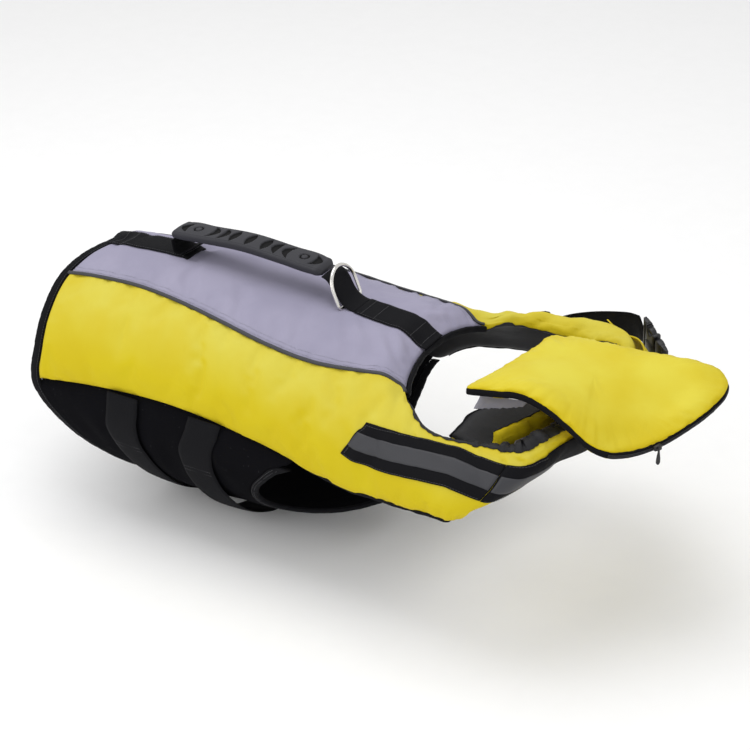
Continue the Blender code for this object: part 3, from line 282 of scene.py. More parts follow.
def gathers(along, walk, size, depth, seed):
    """Small puckers beside a seam: uneven waves along it, highest at CREST, then fading."""
    draw = np.random.default_rng(seed)
    waves = sum(
        np.sin(2 * math.pi * along / (size * s) + draw.uniform(0, 6)) for s in (0.8, 1.3, 2.1)
    )
    reach = walk / CREST
    return depth * waves / 2.2 * reach * np.exp(1 - reach)


def creases(points, lines):
    """Soft folds: along each line a trough with a lower ridge on either side of it.

    lines holds arrays of points with a width and a depth; a fold fades out at both ends.
    """
    height = np.zeros(points.shape[:-1])
    for line, width, depth in lines:
        away = np.linalg.norm(points[..., None, :] - line, axis=-1)
        nearest = away.argmin(-1)
        across = away.min(-1) / width
        taper = np.sin(math.pi * (nearest + 0.5) / len(line)) ** 0.8
        height += depth * taper * (
            0.55 * np.exp(-((across - 1.7) ** 2) * 1.4) - np.exp(-(across**2))
        )
    return height


def add_piece(name, points, faces, finish, slot, places=None, edge=None, node=None,
              body="jacket", sharp=None):
    """An object on a body, in the place of a CAD node, from points and lists of faces.

    places are weave coordinates and edge a number from 0 to 1 for each point, a mask of
    painted shade. Where the enclosed volume, the sum of a . (b x c) over the faces' fans, is
    negative, they turn round.
    """
    points = np.asarray(points, float).reshape(-1, 3)
    volume = sum(
        (points[block[:, 0]] * np.cross(points[block[:, k]], points[block[:, k + 1]])).sum()
        for block in faces for k in range(1, block.shape[1] - 1)
    )
    if volume < 0:
        faces = [block[:, ::-1] for block in faces]
    mesh = bpy.data.meshes.new(name)
    mesh.from_pydata(points.tolist(), [], [face for block in faces for face in block.tolist()])
    corners = np.empty(len(mesh.loops), int)
    mesh.loops.foreach_get("vertex_index", corners)
    if places is not None:
        layer = mesh.uv_layers.new(name="weave")
        layer.uv.foreach_set("vector", np.reshape(places, (-1, 2))[corners].ravel())
    if edge is not None:
        # The mask of painted shade, which the finishes read as edge.
        border_shade = mesh.attributes.new("edge", "FLOAT", "POINT")
        border_shade.data.foreach_set("value", np.ravel(edge))
        normals = np.empty(len(points) * 3)
        mesh.vertices.foreach_get("normal", normals)
        # How far each point faces up, which the cloth reads to paint light on its upper faces.
        facing_up = mesh.attributes.new("facing_up", "FLOAT", "POINT")
        facing_up.data.foreach_set("value", normals[2::3])
    mesh.shade_smooth()
    if sharp:
        mesh.set_sharp_from_angle(angle=math.radians(sharp))
    mesh.materials.append(finish)
    made = bpy.data.objects.new(name, mesh)
    bpy.context.scene.collection.objects.link(made)
    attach(made, body)
    if node:
        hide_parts(node)
    return made


def quads(index):
    """Four-cornered faces of a grid of point numbers."""
    corners = [index[:-1, :-1], index[:-1, 1:], index[1:, 1:], index[1:, :-1]]
    return np.stack(corners, -1).reshape(-1, 4)


def shell_faces(rows, columns):
    """Faces of two like grids, one under the other, closed along their border."""
    count = rows * columns
    index = np.arange(count).reshape(rows, columns)
    ring = np.concatenate([index[0], index[1:, -1], index[-1, -2::-1], index[-2::-1, 0]])
    sides = np.stack([ring[1:], ring[:-1], ring[:-1] + count, ring[1:] + count], -1)
    return np.concatenate([quads(index), quads(index)[:, ::-1] + count, sides])


def add_shell(name, outer, inner, finish, slot, edge=None, **where):
    """A closed sheet between two grids, with the same weave coordinates on both."""
    places = np.stack([cloth_places(outer)] * 2)
    edge = None if edge is None else np.stack([edge] * 2)
    return add_piece(name, np.stack([outer, inner]), [shell_faces(*outer.shape[:2])], finish, slot,
                     places, edge, **where)


def painted_border_shade(walks):
    """1 at the border of a grid, fading over 5 mm: the mask of painted shade along the seams, which
    also roughens them.
    """
    return np.exp(-np.min(walks, axis=0) / (5 * MM))


def settled(points, faces, held, bending, growth, most):
    """How far loose cloth, pinned at the held points, moves when it is pressed from inside.

    growth is the share by which it is cut too large. It is a cloth simulation of 20 frames
    without gravity, and the movement is capped at most, softly.
    """
    points = points.reshape(-1, 3)
    a, b, c = (points[faces[0][:, k]] for k in range(3))
    if (a * np.cross(b, c)).sum() < 0:
        faces = [block[:, ::-1] for block in faces]
    mesh = bpy.data.meshes.new("settling")
    mesh.from_pydata(points.tolist(), [], [face for block in faces for face in block.tolist()])
    cloth = bpy.data.objects.new("settling", mesh)
    bpy.context.scene.collection.objects.link(cloth)
    cloth.vertex_groups.new(name="sewn").add(held.tolist(), 1.0, "REPLACE")
    made = cloth.modifiers.new("settling", "CLOTH")
    made.settings.quality = 6
    made.settings.mass = 0.2
    made.settings.tension_stiffness = made.settings.compression_stiffness = 12
    made.settings.bending_stiffness = bending
    made.settings.vertex_group_mass = "sewn"
    made.settings.use_pressure = True
    made.settings.uniform_pressure_force = 4
    made.settings.shrink_min = -growth
    made.settings.effector_weights.gravity = 0
    made.collision_settings.use_collision = False
    made.point_cache.frame_start, made.point_cache.frame_end = 1, 20
    for step in range(1, 21):
        bpy.context.scene.frame_set(step)
    pressed = cloth.evaluated_get(bpy.context.evaluated_depsgraph_get()).to_mesh()
    moved = np.empty(points.size)
    pressed.vertices.foreach_get("co", moved)
    moved = moved.reshape(-1, 3) - points
    bpy.data.objects.remove(cloth, do_unlink=True)
    bpy.context.scene.frame_set(1)
    length = np.linalg.norm(moved, axis=-1, keepdims=True)
    return moved / np.maximum(length, 1e-9) * most * np.tanh(length / most)


class Wire:
    """A value inside a finish; arithmetic on it adds Math nodes."""

    def __init__(self, finish, socket):
        self.finish, self.socket = finish, socket

    def math(self, operation, *others):
        inputs = dict(enumerate((self, *others)))
        return self.finish.node("Math", {"operation": operation}, inputs)

    def __add__(self, other):
        return self.math("ADD", other)

    def __mul__(self, other):
        return self.math("MULTIPLY", other)

    def __sub__(self, other):
        return self.math("SUBTRACT", other)

    def __rsub__(self, other):
        return (self * -1) + other

    __radd__ = __add__
    __rmul__ = __mul__

    def sine(self):
        return self.math("SINE")

    def size(self):
        return self.math("ABSOLUTE")

    def wave(self, pitch):
        """A sine wave whose threads lie a pitch apart."""
        return (self * (math.pi / pitch)).sine()

    def step(self, low, high):
        """0 below low, 1 above high, and a soft step between."""
        return self.finish.node(
            "MapRange", {"interpolation_type": "SMOOTHSTEP"},
            {"Value": self, "From Min": low, "From Max": high},
        )


class Finish:
    """A material of procedural nodes; constants are set on the shader's own sockets."""

    def __init__(self, name, **constants):
        self.material = bpy.data.materials.new(name)
        self.material.use_nodes = True
        self.tree = self.material.node_tree
        self.shader = self.tree.nodes["Principled BSDF"]
        for socket, value in constants.items():
            self.shader.inputs[socket.replace("_", " ")].default_value = value

    def feed(self, socket, value):
        if isinstance(value, Wire):
            self.tree.links.new(value.socket, socket)
        else:
            socket.default_value = value

    def node(self, kind, settings=(), inputs=(), output=0):
        """Any other node: its type, its settings, then its sockets' values or links."""
        made = self.tree.nodes.new("ShaderNode" + kind)
        for setting, value in dict(settings).items():
            setattr(made, setting, value)
        for socket, value in dict(inputs).items():
            self.feed(made.inputs[socket], value)
        return Wire(self, made.outputs[output])

    def blend(self, share, first, second):
        """One colour turning into another."""
        return self.node("Mix", {"data_type": "RGBA"}, {0: share, 6: first, 7: second}, 2)

    def noise(self, scale, detail=3.0):
        """Clouds on the object's own coordinates."""
        where = self.node("TexCoord", output="Object")
        return self.node("TexNoise", inputs={"Vector": where, "Scale": scale, "Detail": detail})

    def weave_places(self):
        """Distances across and along the cloth, in metres."""
        apart = self.node("SeparateXYZ", inputs={0: self.node("UVMap", {"uv_map": "weave"})})
        return apart, Wire(self, apart.socket.node.outputs[1])

    def edge(self, name="edge"):
        return self.node("Attribute", {"attribute_name": name}, output="Fac")

    def done(self, colour, roughness, height=None, distance=0.0001, strength=1.0):
        """Joins the colour, roughness and relief to the shader."""
        self.feed(self.shader.inputs["Base Color"], colour)
        self.feed(self.shader.inputs["Roughness"], roughness)
        if height is not None:
            bump = {"Height": height, "Distance": distance, "Strength": strength}
            self.feed(self.shader.inputs["Normal"], self.node("Bump", inputs=bump))
        return self.material


def oxford_cloth(name, colour, shaded, painted_top_light, pitch=0.62 * MM):
    """Coated plain weave: uneven dye, with painted shade at its seams and painted light on top."""
    finish = Finish(name, Sheen_Weight=0.02, Sheen_Roughness=0.4, Specular_IOR_Level=0.1)
    across, along = finish.weave_places()
    weft, warp = across.wave(pitch), along.wave(pitch)
    over = (weft * warp).step(-0.35, 0.35)
    threads = weft.size() * (1 - over) + warp.size() * over
    clouds = finish.noise(14.0)
    slubs = finish.noise(260.0, 2.0)
    # Painted shade: the edge mask darkens the cloth towards its shaded colour at the seams.
    tone = clouds.step(0.3, 0.75) * 0.55 + (1 - threads) * 0.22 + finish.edge() * 0.38
    roughness = 0.62 + slubs * 0.12 + finish.edge() * 0.08
    # Painted light: the faces that look up are blended towards a paler colour.
    colour = finish.blend(finish.edge("facing_up").step(0.15, 0.97), colour, painted_top_light)
    return finish.done(
        finish.blend(tone, colour, shaded), roughness, threads * 0.8 + slubs * 0.5, 0.00012, 0.55,
    )


# The third colour is the painted light on the faces that look up.
grey_cloth = oxford_cloth("grey_oxford", (0.31, 0.295, 0.39, 1), (0.26, 0.249, 0.34, 1),
                          (0.335, 0.318, 0.42, 1))

back_stations = np.linspace(-229, 190, 121) * MM
back, back_x, back_angles = body_grid(
    back_stations, back_angle, columns_for(180 * MM), start=inside_tail,
    finish=lambda angle: hem_line(NECK_HEM, angle, -GAP),
)
back_normals = grid_normals(back, 1)
back_walks = edge_walks(back)
back_inward = -back_normals * foam_at(back_x)[..., None]


def angle_of_y(x, y):
    """The section angle at which the body's upper side is y from its middle plane."""
    share = np.abs(y) / smooth(BODY["x"], BODY["half_width"], x)
    return np.sign(y) * np.arcsin(share ** (smooth(BODY["x"], BODY["top_power"], x) / 2))


def back_lines(*rows):
    """Fold lines on the back from x, y of both ends, with a width and a depth, all in mm."""
    lines = []
    for x0, y0, x1, y1, width, depth in rows:
        x = np.linspace(x0, x1, 14) * MM
        y = np.linspace(y0, y1, 14) * MM + 2.5 * MM * np.sin(np.linspace(0, math.pi, 14))
        lines.append((body_point(x, angle_of_y(x, y)), width * MM, depth * MM))
    return lines


back_folds = creases(back, back_lines(
    (88, -20, 128, -78, 6, 1.5), (104, -20, 150, -60, 5, 1.1), (140, -20, 176, -66, 5, 1.2),
    (-106, -22, -70, -82, 8, 0.9), (-30, -46, 10, -88, 10, 0.8), (48, -30, 66, -84, 8, 0.8),
    (92, 20, 132, 76, 6, 1.3), (110, 20, 158, 58, 5, 1.0), (146, 22, 178, 70, 5, 1.2),
    (-110, 22, -74, 80, 8, 0.9), (-24, 44, 12, 86, 9, 0.8), (-196, -30, -150, -60, 9, 0.6),
    (-196, 30, -150, 64, 9, 0.6), (160, 22, 184, 40, 4, 0.9), (160, -22, 184, -42, 4, 0.9),
))
fade = ease(np.min(back_walks, axis=0) / (11 * MM))
back_height = fade * (back_folds + 0.9 * MM * uneven(back, 120 * MM, 3))
back_height += gathers(back_walks[0], np.min(back_walks[2:], axis=0), 12 * MM, 0.35 * MM, 5)
back_height += gathers(walked_along(back, 1), back_walks[1], 10 * MM, 0.5 * MM, 6)
back_turn = turned_in(back_walks, (0.22, 0.3, 0.13, 0.13), 7 * MM)
back_face = back + back_inward * back_turn[..., None]
back_face += back_normals * back_height[..., None]
back_turn = turned_in(back_walks, (0.3, 0.3, 0.3, 0.3), 9 * MM)
back_deep = back + back_inward * (1 - back_turn)[..., None]


def every_other(count):
    """Indexes of every other point of a row, with its last one."""
    return np.unique(np.append(np.arange(0, count, 2), count - 1))


SETTLE = 2.2 * MM


def pressed_out(face, deep):
    """The movement of the face as its cloth, 2 % too large, settles over the foam.

    It is worked out on every other line, with the border and the inner face pinned.
    """
    rows, columns = every_other(face.shape[0]), every_other(face.shape[1])
    both = np.stack([face[np.ix_(rows, columns)], deep[np.ix_(rows, columns)]])
    index = np.arange(both[0].size // 3).reshape(len(rows), len(columns))
    border = np.unique(np.concatenate([index[0], index[-1], index[:, 0], index[:, -1]]))
    held = np.concatenate([border, index.ravel() + index.size])
    moved = settled(both, [shell_faces(*index.shape)], held, 0.4, 0.02, SETTLE)
    moved = moved.reshape(both.shape)[0]
    moved = smooth(rows.astype(float), moved, np.arange(face.shape[0]))
    moved = smooth(columns.astype(float), moved.swapaxes(0, 1), np.arange(face.shape[1]))
    return moved.swapaxes(0, 1)


back_move = pressed_out(back_face, back_deep)
back_height = back_height + (back_move * back_normals).sum(-1)
back_face = back_face + back_move
piece = add_shell("back_padding", back_face, back_deep, grey_cloth, "grey_cloth",
                  painted_border_shade(back_walks), node="back_panel")


# ------------------------------------------------------------------ side panels with arms
# Each yellow side is one padded piece from the tail to its chest arm: the same woven
# polyester over foam. The foam is thinner and the cloth looser on the arms, whose rims
# are rolled. The seam to the belly and the tail is sewn flat.

LOW_EDGE = table(      # the seam between yellow and black, then the lower edge of the arm
    "x_mm angle_deg",
    (-255, 91.0), (-178, 86.8), (-122, 85.0), (-68, 84.2), (-16, 85.0), (35, 87.0),
    (86, 89.3), (130, 92.5), (168, 95.2), (213, 92.6), (239, 90.6), (274, 88.4), (310, 87.0),
)
LOW_EDGE_RISE = table(     # how far the left arm's lower edge lies above that
    "x_mm angle_deg", (125, 0), (138, 6), (150, 10.5), (168, 14), (190, 15.5), (213, 15.5),
    (240, 13), (274, 8), (310, 4),
)
FOAM_FACING = {RIGHT: -1, LEFT: 1}    # side of a grid that points away from the dog
SIDE_ROWS = np.array([
    -229, -205, -178, -150, -120, -90, -60, -30, 0, 30, 60, 90, 118, 142, 160, 172, 186, 196, 203,
    209, 218, 228, 240, 257, 274, 292,
]) * MM
# Beyond the body each arm is given by points down its outer face: at its neck edge, half
# way and at its lower edge. The right arm crosses the chest outside the left one.
ARM_NAMES = "rim_x_mm rim_y_mm rim_z_mm mid_x_mm mid_y_mm mid_z_mm low_x_mm low_y_mm low_z_mm"
ARM_RIGHT = table(
    ARM_NAMES,
    (315, -127, -37, 326, -157, -72, 300, -161, -109),
    (338, -126, -36, 345, -146, -65, 302, -147, -110),
    (353, -121, -34, 357, -130, -60, 305, -130, -108),
    (364, -102, -30, 366, -102, -58, 314, -101, -105),
    (373, -78, -28, 372, -75, -57, 322, -72, -102),
    (380, -40, -28, 384, -36, -58, 330, -34, -100),
    (384, 20, -28, 389, 20, -57, 334, 20, -98),
    (383, 75, -28, 388, 78, -56, 342, 80, -94),
    (377, 113, -27, 383, 119, -53, 352, 118, -88),
    (361, 137, -27, 366, 144, -52, 352, 145, -80),
    (335, 150, -31, 339, 162, -54, 338, 164, -76),
    (312, 162, -27, 315, 176, -48, 316, 178, -68),
)
ARM_LEFT = table(
    ARM_NAMES,
    (318, 124, -32, 325, 155, -37, 308, 154, -84),
    (340, 121, -28, 347, 142, -38, 320, 132, -86),
    (354, 110, -25, 361, 117, -50, 326, 110, -88),
    (358, 92, -26, 361, 88, -60, 322, 88, -90),
    (356, 70, -27, 356, 66, -64, 310, 66, -90),
    (351, 36, -28, 346, 34, -66, 290, 36, -80),
    (345, -9, -31, 336, -9, -68, 274, -9, -64),
    (334, -49, -33, 324, -50, -66, 258, -51, -60),
    (323, -80, -34, 312, -80, -65, 258, -76, -62),
    (308, -98, -40, 298, -98, -66, 256, -92, -66),
    (291, -105, -50, 281, -105, -70, 250, -98, -76),
)
LEFT_SHOULDER = table(     # the left shoulder puffs up beside its neck edge
    "share rise_mm", (0, -3), (0.13, 9), (0.3, 20), (0.5, 20), (0.7, 9), (1, 0),
)
# The reflective webbing's top edge: an angle on the body, then a share across the arm.
WEBBING_EDGE = table("x_mm angle_deg", (183, 56.8), (222, 54.9), (257, 52.2), (292, 50.4))
WEBBING_ARM_SHARE = table(
    "row share",
    (0, 0.09), (1, 0.13), (2, 0.20), (3, 0.27), (4, 0.25), (5, 0.20), (6, 0.16), (12, 0.16),
)
ARM_WEBBING = 42.0 * MM       # width of the webbing on the arms and of the front strap
STRIPE = 17.0 * MM            # width of the reflective stripe in its middle
LINES = np.array([0, ARM_WEBBING - STRIPE, ARM_WEBBING + STRIPE, 2 * ARM_WEBBING]) / 2
EVEN = np.array([0, 0.1, 0.28, 0.46, 0.64, 0.84, 1])
FOAM_END = {RIGHT: 9, LEFT: 10}       # arm row where the foam ends


def arm_row(arm, row, shares):
    """Points across an arm from its rim to its lower edge, on a curve through its middle."""
    rim, mid, low = (
        np.array([arm[f"{place}_{axis}"][row] for axis in "xyz"]) for place in ("rim", "mid", "low")
    )
    u = shares[:, None]
    return rim * (1 - u) * (1 - 2 * u) + mid * 4 * u * (1 - u) + low * u * (2 * u - 1)


def low_edge(side, x):
    """The angle of a side panel's lower edge."""
    return read_edge(LOW_EDGE, x) - (side == LEFT) * read_edge(LOW_EDGE_RISE, x)


def side_angle(side):
    def angle_at(x, shares):
        top = read_edge(TOP_EDGE, x) + SEAM_INSET
        return side * mix(top, low_edge(side, x) - SEAM_INSET, shares)
    return angle_at


def across(values, position):
    """Each row of values read at fractional columns, on a cubic through them."""
    slopes = np.gradient(values, axis=1)
    low = np.clip(np.floor(position).astype(int), 0, values.shape[1] - 2)
    t = position - low
    if values.ndim == 3:
        low, t = low[..., None], t[..., None]

    def pick(source, step):
        return np.take_along_axis(source, low + step, axis=1)

    return (
        (2 * t**3 - 3 * t**2 + 1) * pick(values, 0) + (t**3 - 2 * t**2 + t) * pick(slopes, 0)
        + (3 * t**2 - 2 * t**3) * pick(values, 1) + (t**3 - t**2) * pick(slopes, 1)
    )


def column_of(places, at):
    """Fractional columns at which each row of rising places passes the wanted values."""
    low = np.clip((places[:, None, :] <= at[:, :, None]).sum(-1) - 1, 0, places.shape[1] - 2)
    first = np.take_along_axis(places, low, axis=1)
    return low + (at - first) / (np.take_along_axis(places, low + 1, axis=1) - first)


def read_between(height, places, at, columns):
    """A height grid read between its rows, which lie at places; columns(rows) says where."""
    row = np.interp(at, places, np.arange(len(places))).ravel()
    low = np.clip(row.astype(int), 0, len(places) - 2)
    first, second = (across(height[k], columns(k))[:, 0] for k in (low, low + 1))
    return mix(first, second, row - low).reshape(at.shape)


class Side:
    """One side panel and its arm, as a smooth surface over (station, share across).

    Stations count the rows of control points, so a station need not be whole.
    """

    CONTROLS = np.linspace(0, 1, 13)

    def __init__(self, side, arm):
        self.side = side
        body, _, _ = body_grid(SIDE_ROWS, side_angle(side), self.CONTROLS, start=inside_tail)
        if side == LEFT:
            rise = smooth(LEFT_SHOULDER["share"], LEFT_SHOULDER["rise"], self.CONTROLS)
            body[..., 2] += rise * ease((SIDE_ROWS - 203 * MM) / (38 * MM))[:, None]
        rows = [arm_row(arm, row, self.CONTROLS) for row in range(len(arm["rim_x"]))]
        self.rows = np.concatenate([body, np.array(rows)])
        self.last = len(self.rows) - 1
        self.first_arm = len(SIDE_ROWS) - 1
        middle = self.rows[:, 6]
        self.walked = np.concatenate(
            [[0], np.cumsum(np.linalg.norm(np.diff(middle, axis=0), axis=1))]
        )

    def at(self, stations, shares):
        """Grid of points; stations may be one for each row or one for each point."""
        if np.ndim(stations) == 2:
            return self.at(stations.ravel(), shares.reshape(-1, 1)).reshape(shares.shape + (3,))
        shares = np.broadcast_to(shares, (len(stations), np.shape(shares)[-1]))
        whole = smooth(self.walked, self.rows, self.length_at(stations))
        return across(whole, shares * (len(self.CONTROLS) - 1))

    def length_at(self, stations):
        return np.interp(stations, np.arange(self.last + 1), self.walked)

    def station_at(self, lengths):
        return np.interp(lengths, self.walked, np.arange(self.last + 1))

    def stations(self, start, finish, spacing):
        """Stations from start to finish that lie about spacing apart along the panel."""
        lengths = self.length_at([start, finish])
        count = max(2, round((lengths[1] - lengths[0]) / spacing) + 1)
        return self.station_at(np.linspace(*lengths, count))

    def station_of_x(self, x):
        """The station of the body row at x."""
        return np.interp(x, SIDE_ROWS, np.arange(len(SIDE_ROWS)))

    def x_of_station(self, stations):
        return np.interp(stations, np.arange(len(SIDE_ROWS)), SIDE_ROWS)


def webbing_share(panel, stations):
    """Share across an arm at which the top edge of its reflective webbing runs."""
    x = panel.x_of_station(stations)
    top, low = read_edge(TOP_EDGE, x), low_edge(panel.side, x)
    on_body = (read_edge(WEBBING_EDGE, x) - top) / (low - top)
    past = stations - panel.first_arm
    on_arm = smooth(WEBBING_ARM_SHARE["row"], WEBBING_ARM_SHARE["share"], past)
    return np.where(past < 0, on_body, on_arm)


def side_lines(panel, stations):
    """Seven shares down each row; the second to fifth run along the webbing and its stripe."""
    fine = np.linspace(0, 1, 25)
    walked = walked_along(panel.at(stations, fine), 1)
    top = webbing_share(panel, stations)
    start = across(walked, top[:, None] * 24)
    room = np.minimum(1, (0.92 * walked[:, -1:] - start) / ARM_WEBBING)
    lines = column_of(walked, start + LINES * room) / 24
    rows = np.concatenate([0 * start, lines, (1 + lines[:, -1:]) / 2, 1 + 0 * start], axis=1)
    webbed = ease((panel.x_of_station(stations) - 130 * MM) / (50 * MM))[:, None]
    return mix(EVEN, rows, webbed)


def drawn_in(grid, amount):
    """The grid with its four borders moved in towards its middle."""
    moved = grid.copy()
    moved[0] += unit(grid[1] - grid[0]) * amount
    moved[-1] += unit(grid[-2] - grid[-1]) * amount
    moved[:, 0] += unit(grid[:, 1] - grid[:, 0]) * amount
    moved[:, -1] += unit(grid[:, -2] - grid[:, -1]) * amount
    return moved


LEAST_STEP = 0.4      # share of the outer face's step that an inner step keeps


def unfolded(inner, outer):
    """Spreads an inner grid where its steps have shrunk under a tight bend of the outer one."""
    inner = inner.copy()
    for _ in range(25):
        for axis in (0, 1):
            beside = np.diff(outer, axis=axis)
            length = np.linalg.norm(beside, axis=-1, keepdims=True)
            step = np.diff(inner, axis=axis)
            progress = (step * beside).sum(axis=-1, keepdims=True) / length
            push = np.clip(LEAST_STEP * length - progress, 0, None) * beside / length / 2
            turned = inner.swapaxes(0, axis)
            turned[:-1] -= push.swapaxes(0, axis)
            turned[1:] += push.swapaxes(0, axis)
    return inner


SIDES = {RIGHT: Side(RIGHT, ARM_RIGHT), LEFT: Side(LEFT, ARM_LEFT)}
SIDE_NAMES = {RIGHT: "right", LEFT: "left"}
# The third colour is the painted light on the faces that look up.
yellow_cloth = oxford_cloth("yellow_oxford", (0.62, 0.50, 0.012, 1), (0.58, 0.44, 0.010, 1),
                            (0.62, 0.555, 0.085, 1))


def foam_depth(panel):
    """Stations and the way in through the full foam, kept from folding at tight bends.

    It is worked out on the panel's seven lines, far enough apart for the inner face not to
    cross itself, and read between them.
    """
    rows = np.concatenate([
        panel.stations(0, panel.station_of_x(245 * MM), 22 * MM),
        panel.stations(panel.station_of_x(245 * MM), panel.first_arm + FOAM_END[panel.side],
                       17 * MM)[1:],
    ])
    grid = panel.at(rows, side_lines(panel, rows))
    depth = foam_at(panel.x_of_station(rows))[:, None, None]
    inner = drawn_in(grid, 1.2 * MM) - grid_normals(grid, FOAM_FACING[panel.side]) * depth
    return rows, unfolded(inner, grid) - grid


# Folds in the cloth, from (station or x, share) to (station or x, share): width, depth.
SIDE_FOLDS = (
    (-34, 0.22, -18, 0.90, 10, 1.1), (-6, 0.30, 4, 0.80, 14, 0.6), (30, 0.16, 50, 0.93, 11, 1.0),
    (-133, 0.30, -120, 0.75, 14, 0.7), (-212, 0.30, -190, 0.80, 16, 0.6),
    (-86, 0.05, -120, 0.40, 12, 0.6), (84, 0.10, 70, 0.55, 12, 0.7),
    (-60, 0.45, -66, 0.95, 14, 0.5), (127, 0.10, 148, 0.46, 10, 1.3),
    (148, 0.46, 176, 0.62, 9, 0.9), (171, 0.06, 150, 0.34, 9, 1.0),
    (100, 0.55, 128, 0.97, 13, 0.9), (150, 0.72, 172, 0.98, 10, 0.8),
    (196, 0.04, 214, 0.28, 7, 0.9), (224, 0.80, 258, 0.96, 9, 0.8), (186, 0.86, 226, 0.78, 9, 0.7),
)
ARM_FOLDS = {
    RIGHT: (
        (26.2, 0.02, 26.9, 0.22, 6, 1.2), (27.3, 0.02, 27.7, 0.25, 5, 1.5),
        (28.2, 0.02, 28.3, 0.24, 6, 1.2), (29.6, 0.03, 29.3, 0.22, 6, 0.9),
        (26.6, 0.78, 27.4, 0.97, 7, 1.0), (28.4, 0.80, 28.8, 0.98, 7, 1.0),
        (31.0, 0.78, 31.4, 0.98, 8, 0.8), (30.8, 0.03, 31.2, 0.20, 7, 0.8),
    ),
    LEFT: (
        (22.0, 0.03, 24.6, 0.42, 11, 1.7), (24.4, 0.05, 26.6, 0.24, 8, 1.5),
        (26.4, 0.05, 27.6, 0.50, 8, 1.3), (20.2, 0.10, 21.4, 0.60, 10, 1.2),
        (28.2, 0.05, 28.0, 0.50, 7, 1.1), (30.0, 0.10, 30.4, 0.80, 8, 0.9),
        (32.2, 0.10, 32.6, 0.80, 8, 0.9), (27.2, 0.60, 27.6, 0.95, 8, 0.9),
    ),
}


def side_creases(panel, grid):
    """The panel's folds; those on the body are shifted a little on the left side."""
    lines = []
    for s0, u0, s1, u1, width, depth in SIDE_FOLDS:
        ends = panel.station_of_x((np.array([s0, s1]) + 9 * (panel.side == LEFT)) * MM)
        lines.append((ends[0], u0, ends[1], u1, width, depth))
    lines += ARM_FOLDS[panel.side]
    walk = np.linspace(0, 1, 14)
    bow = 0.03 * np.sin(walk * math.pi)
    return creases(grid, [
        (panel.at(mix(s0, s1, walk)[:, None], (mix(u0, u1, walk) + bow)[:, None])[:, 0],
         width * MM, depth * MM)
        for s0, u0, s1, u1, width, depth in lines
    ])


STRIP_STEP = 3 * MM


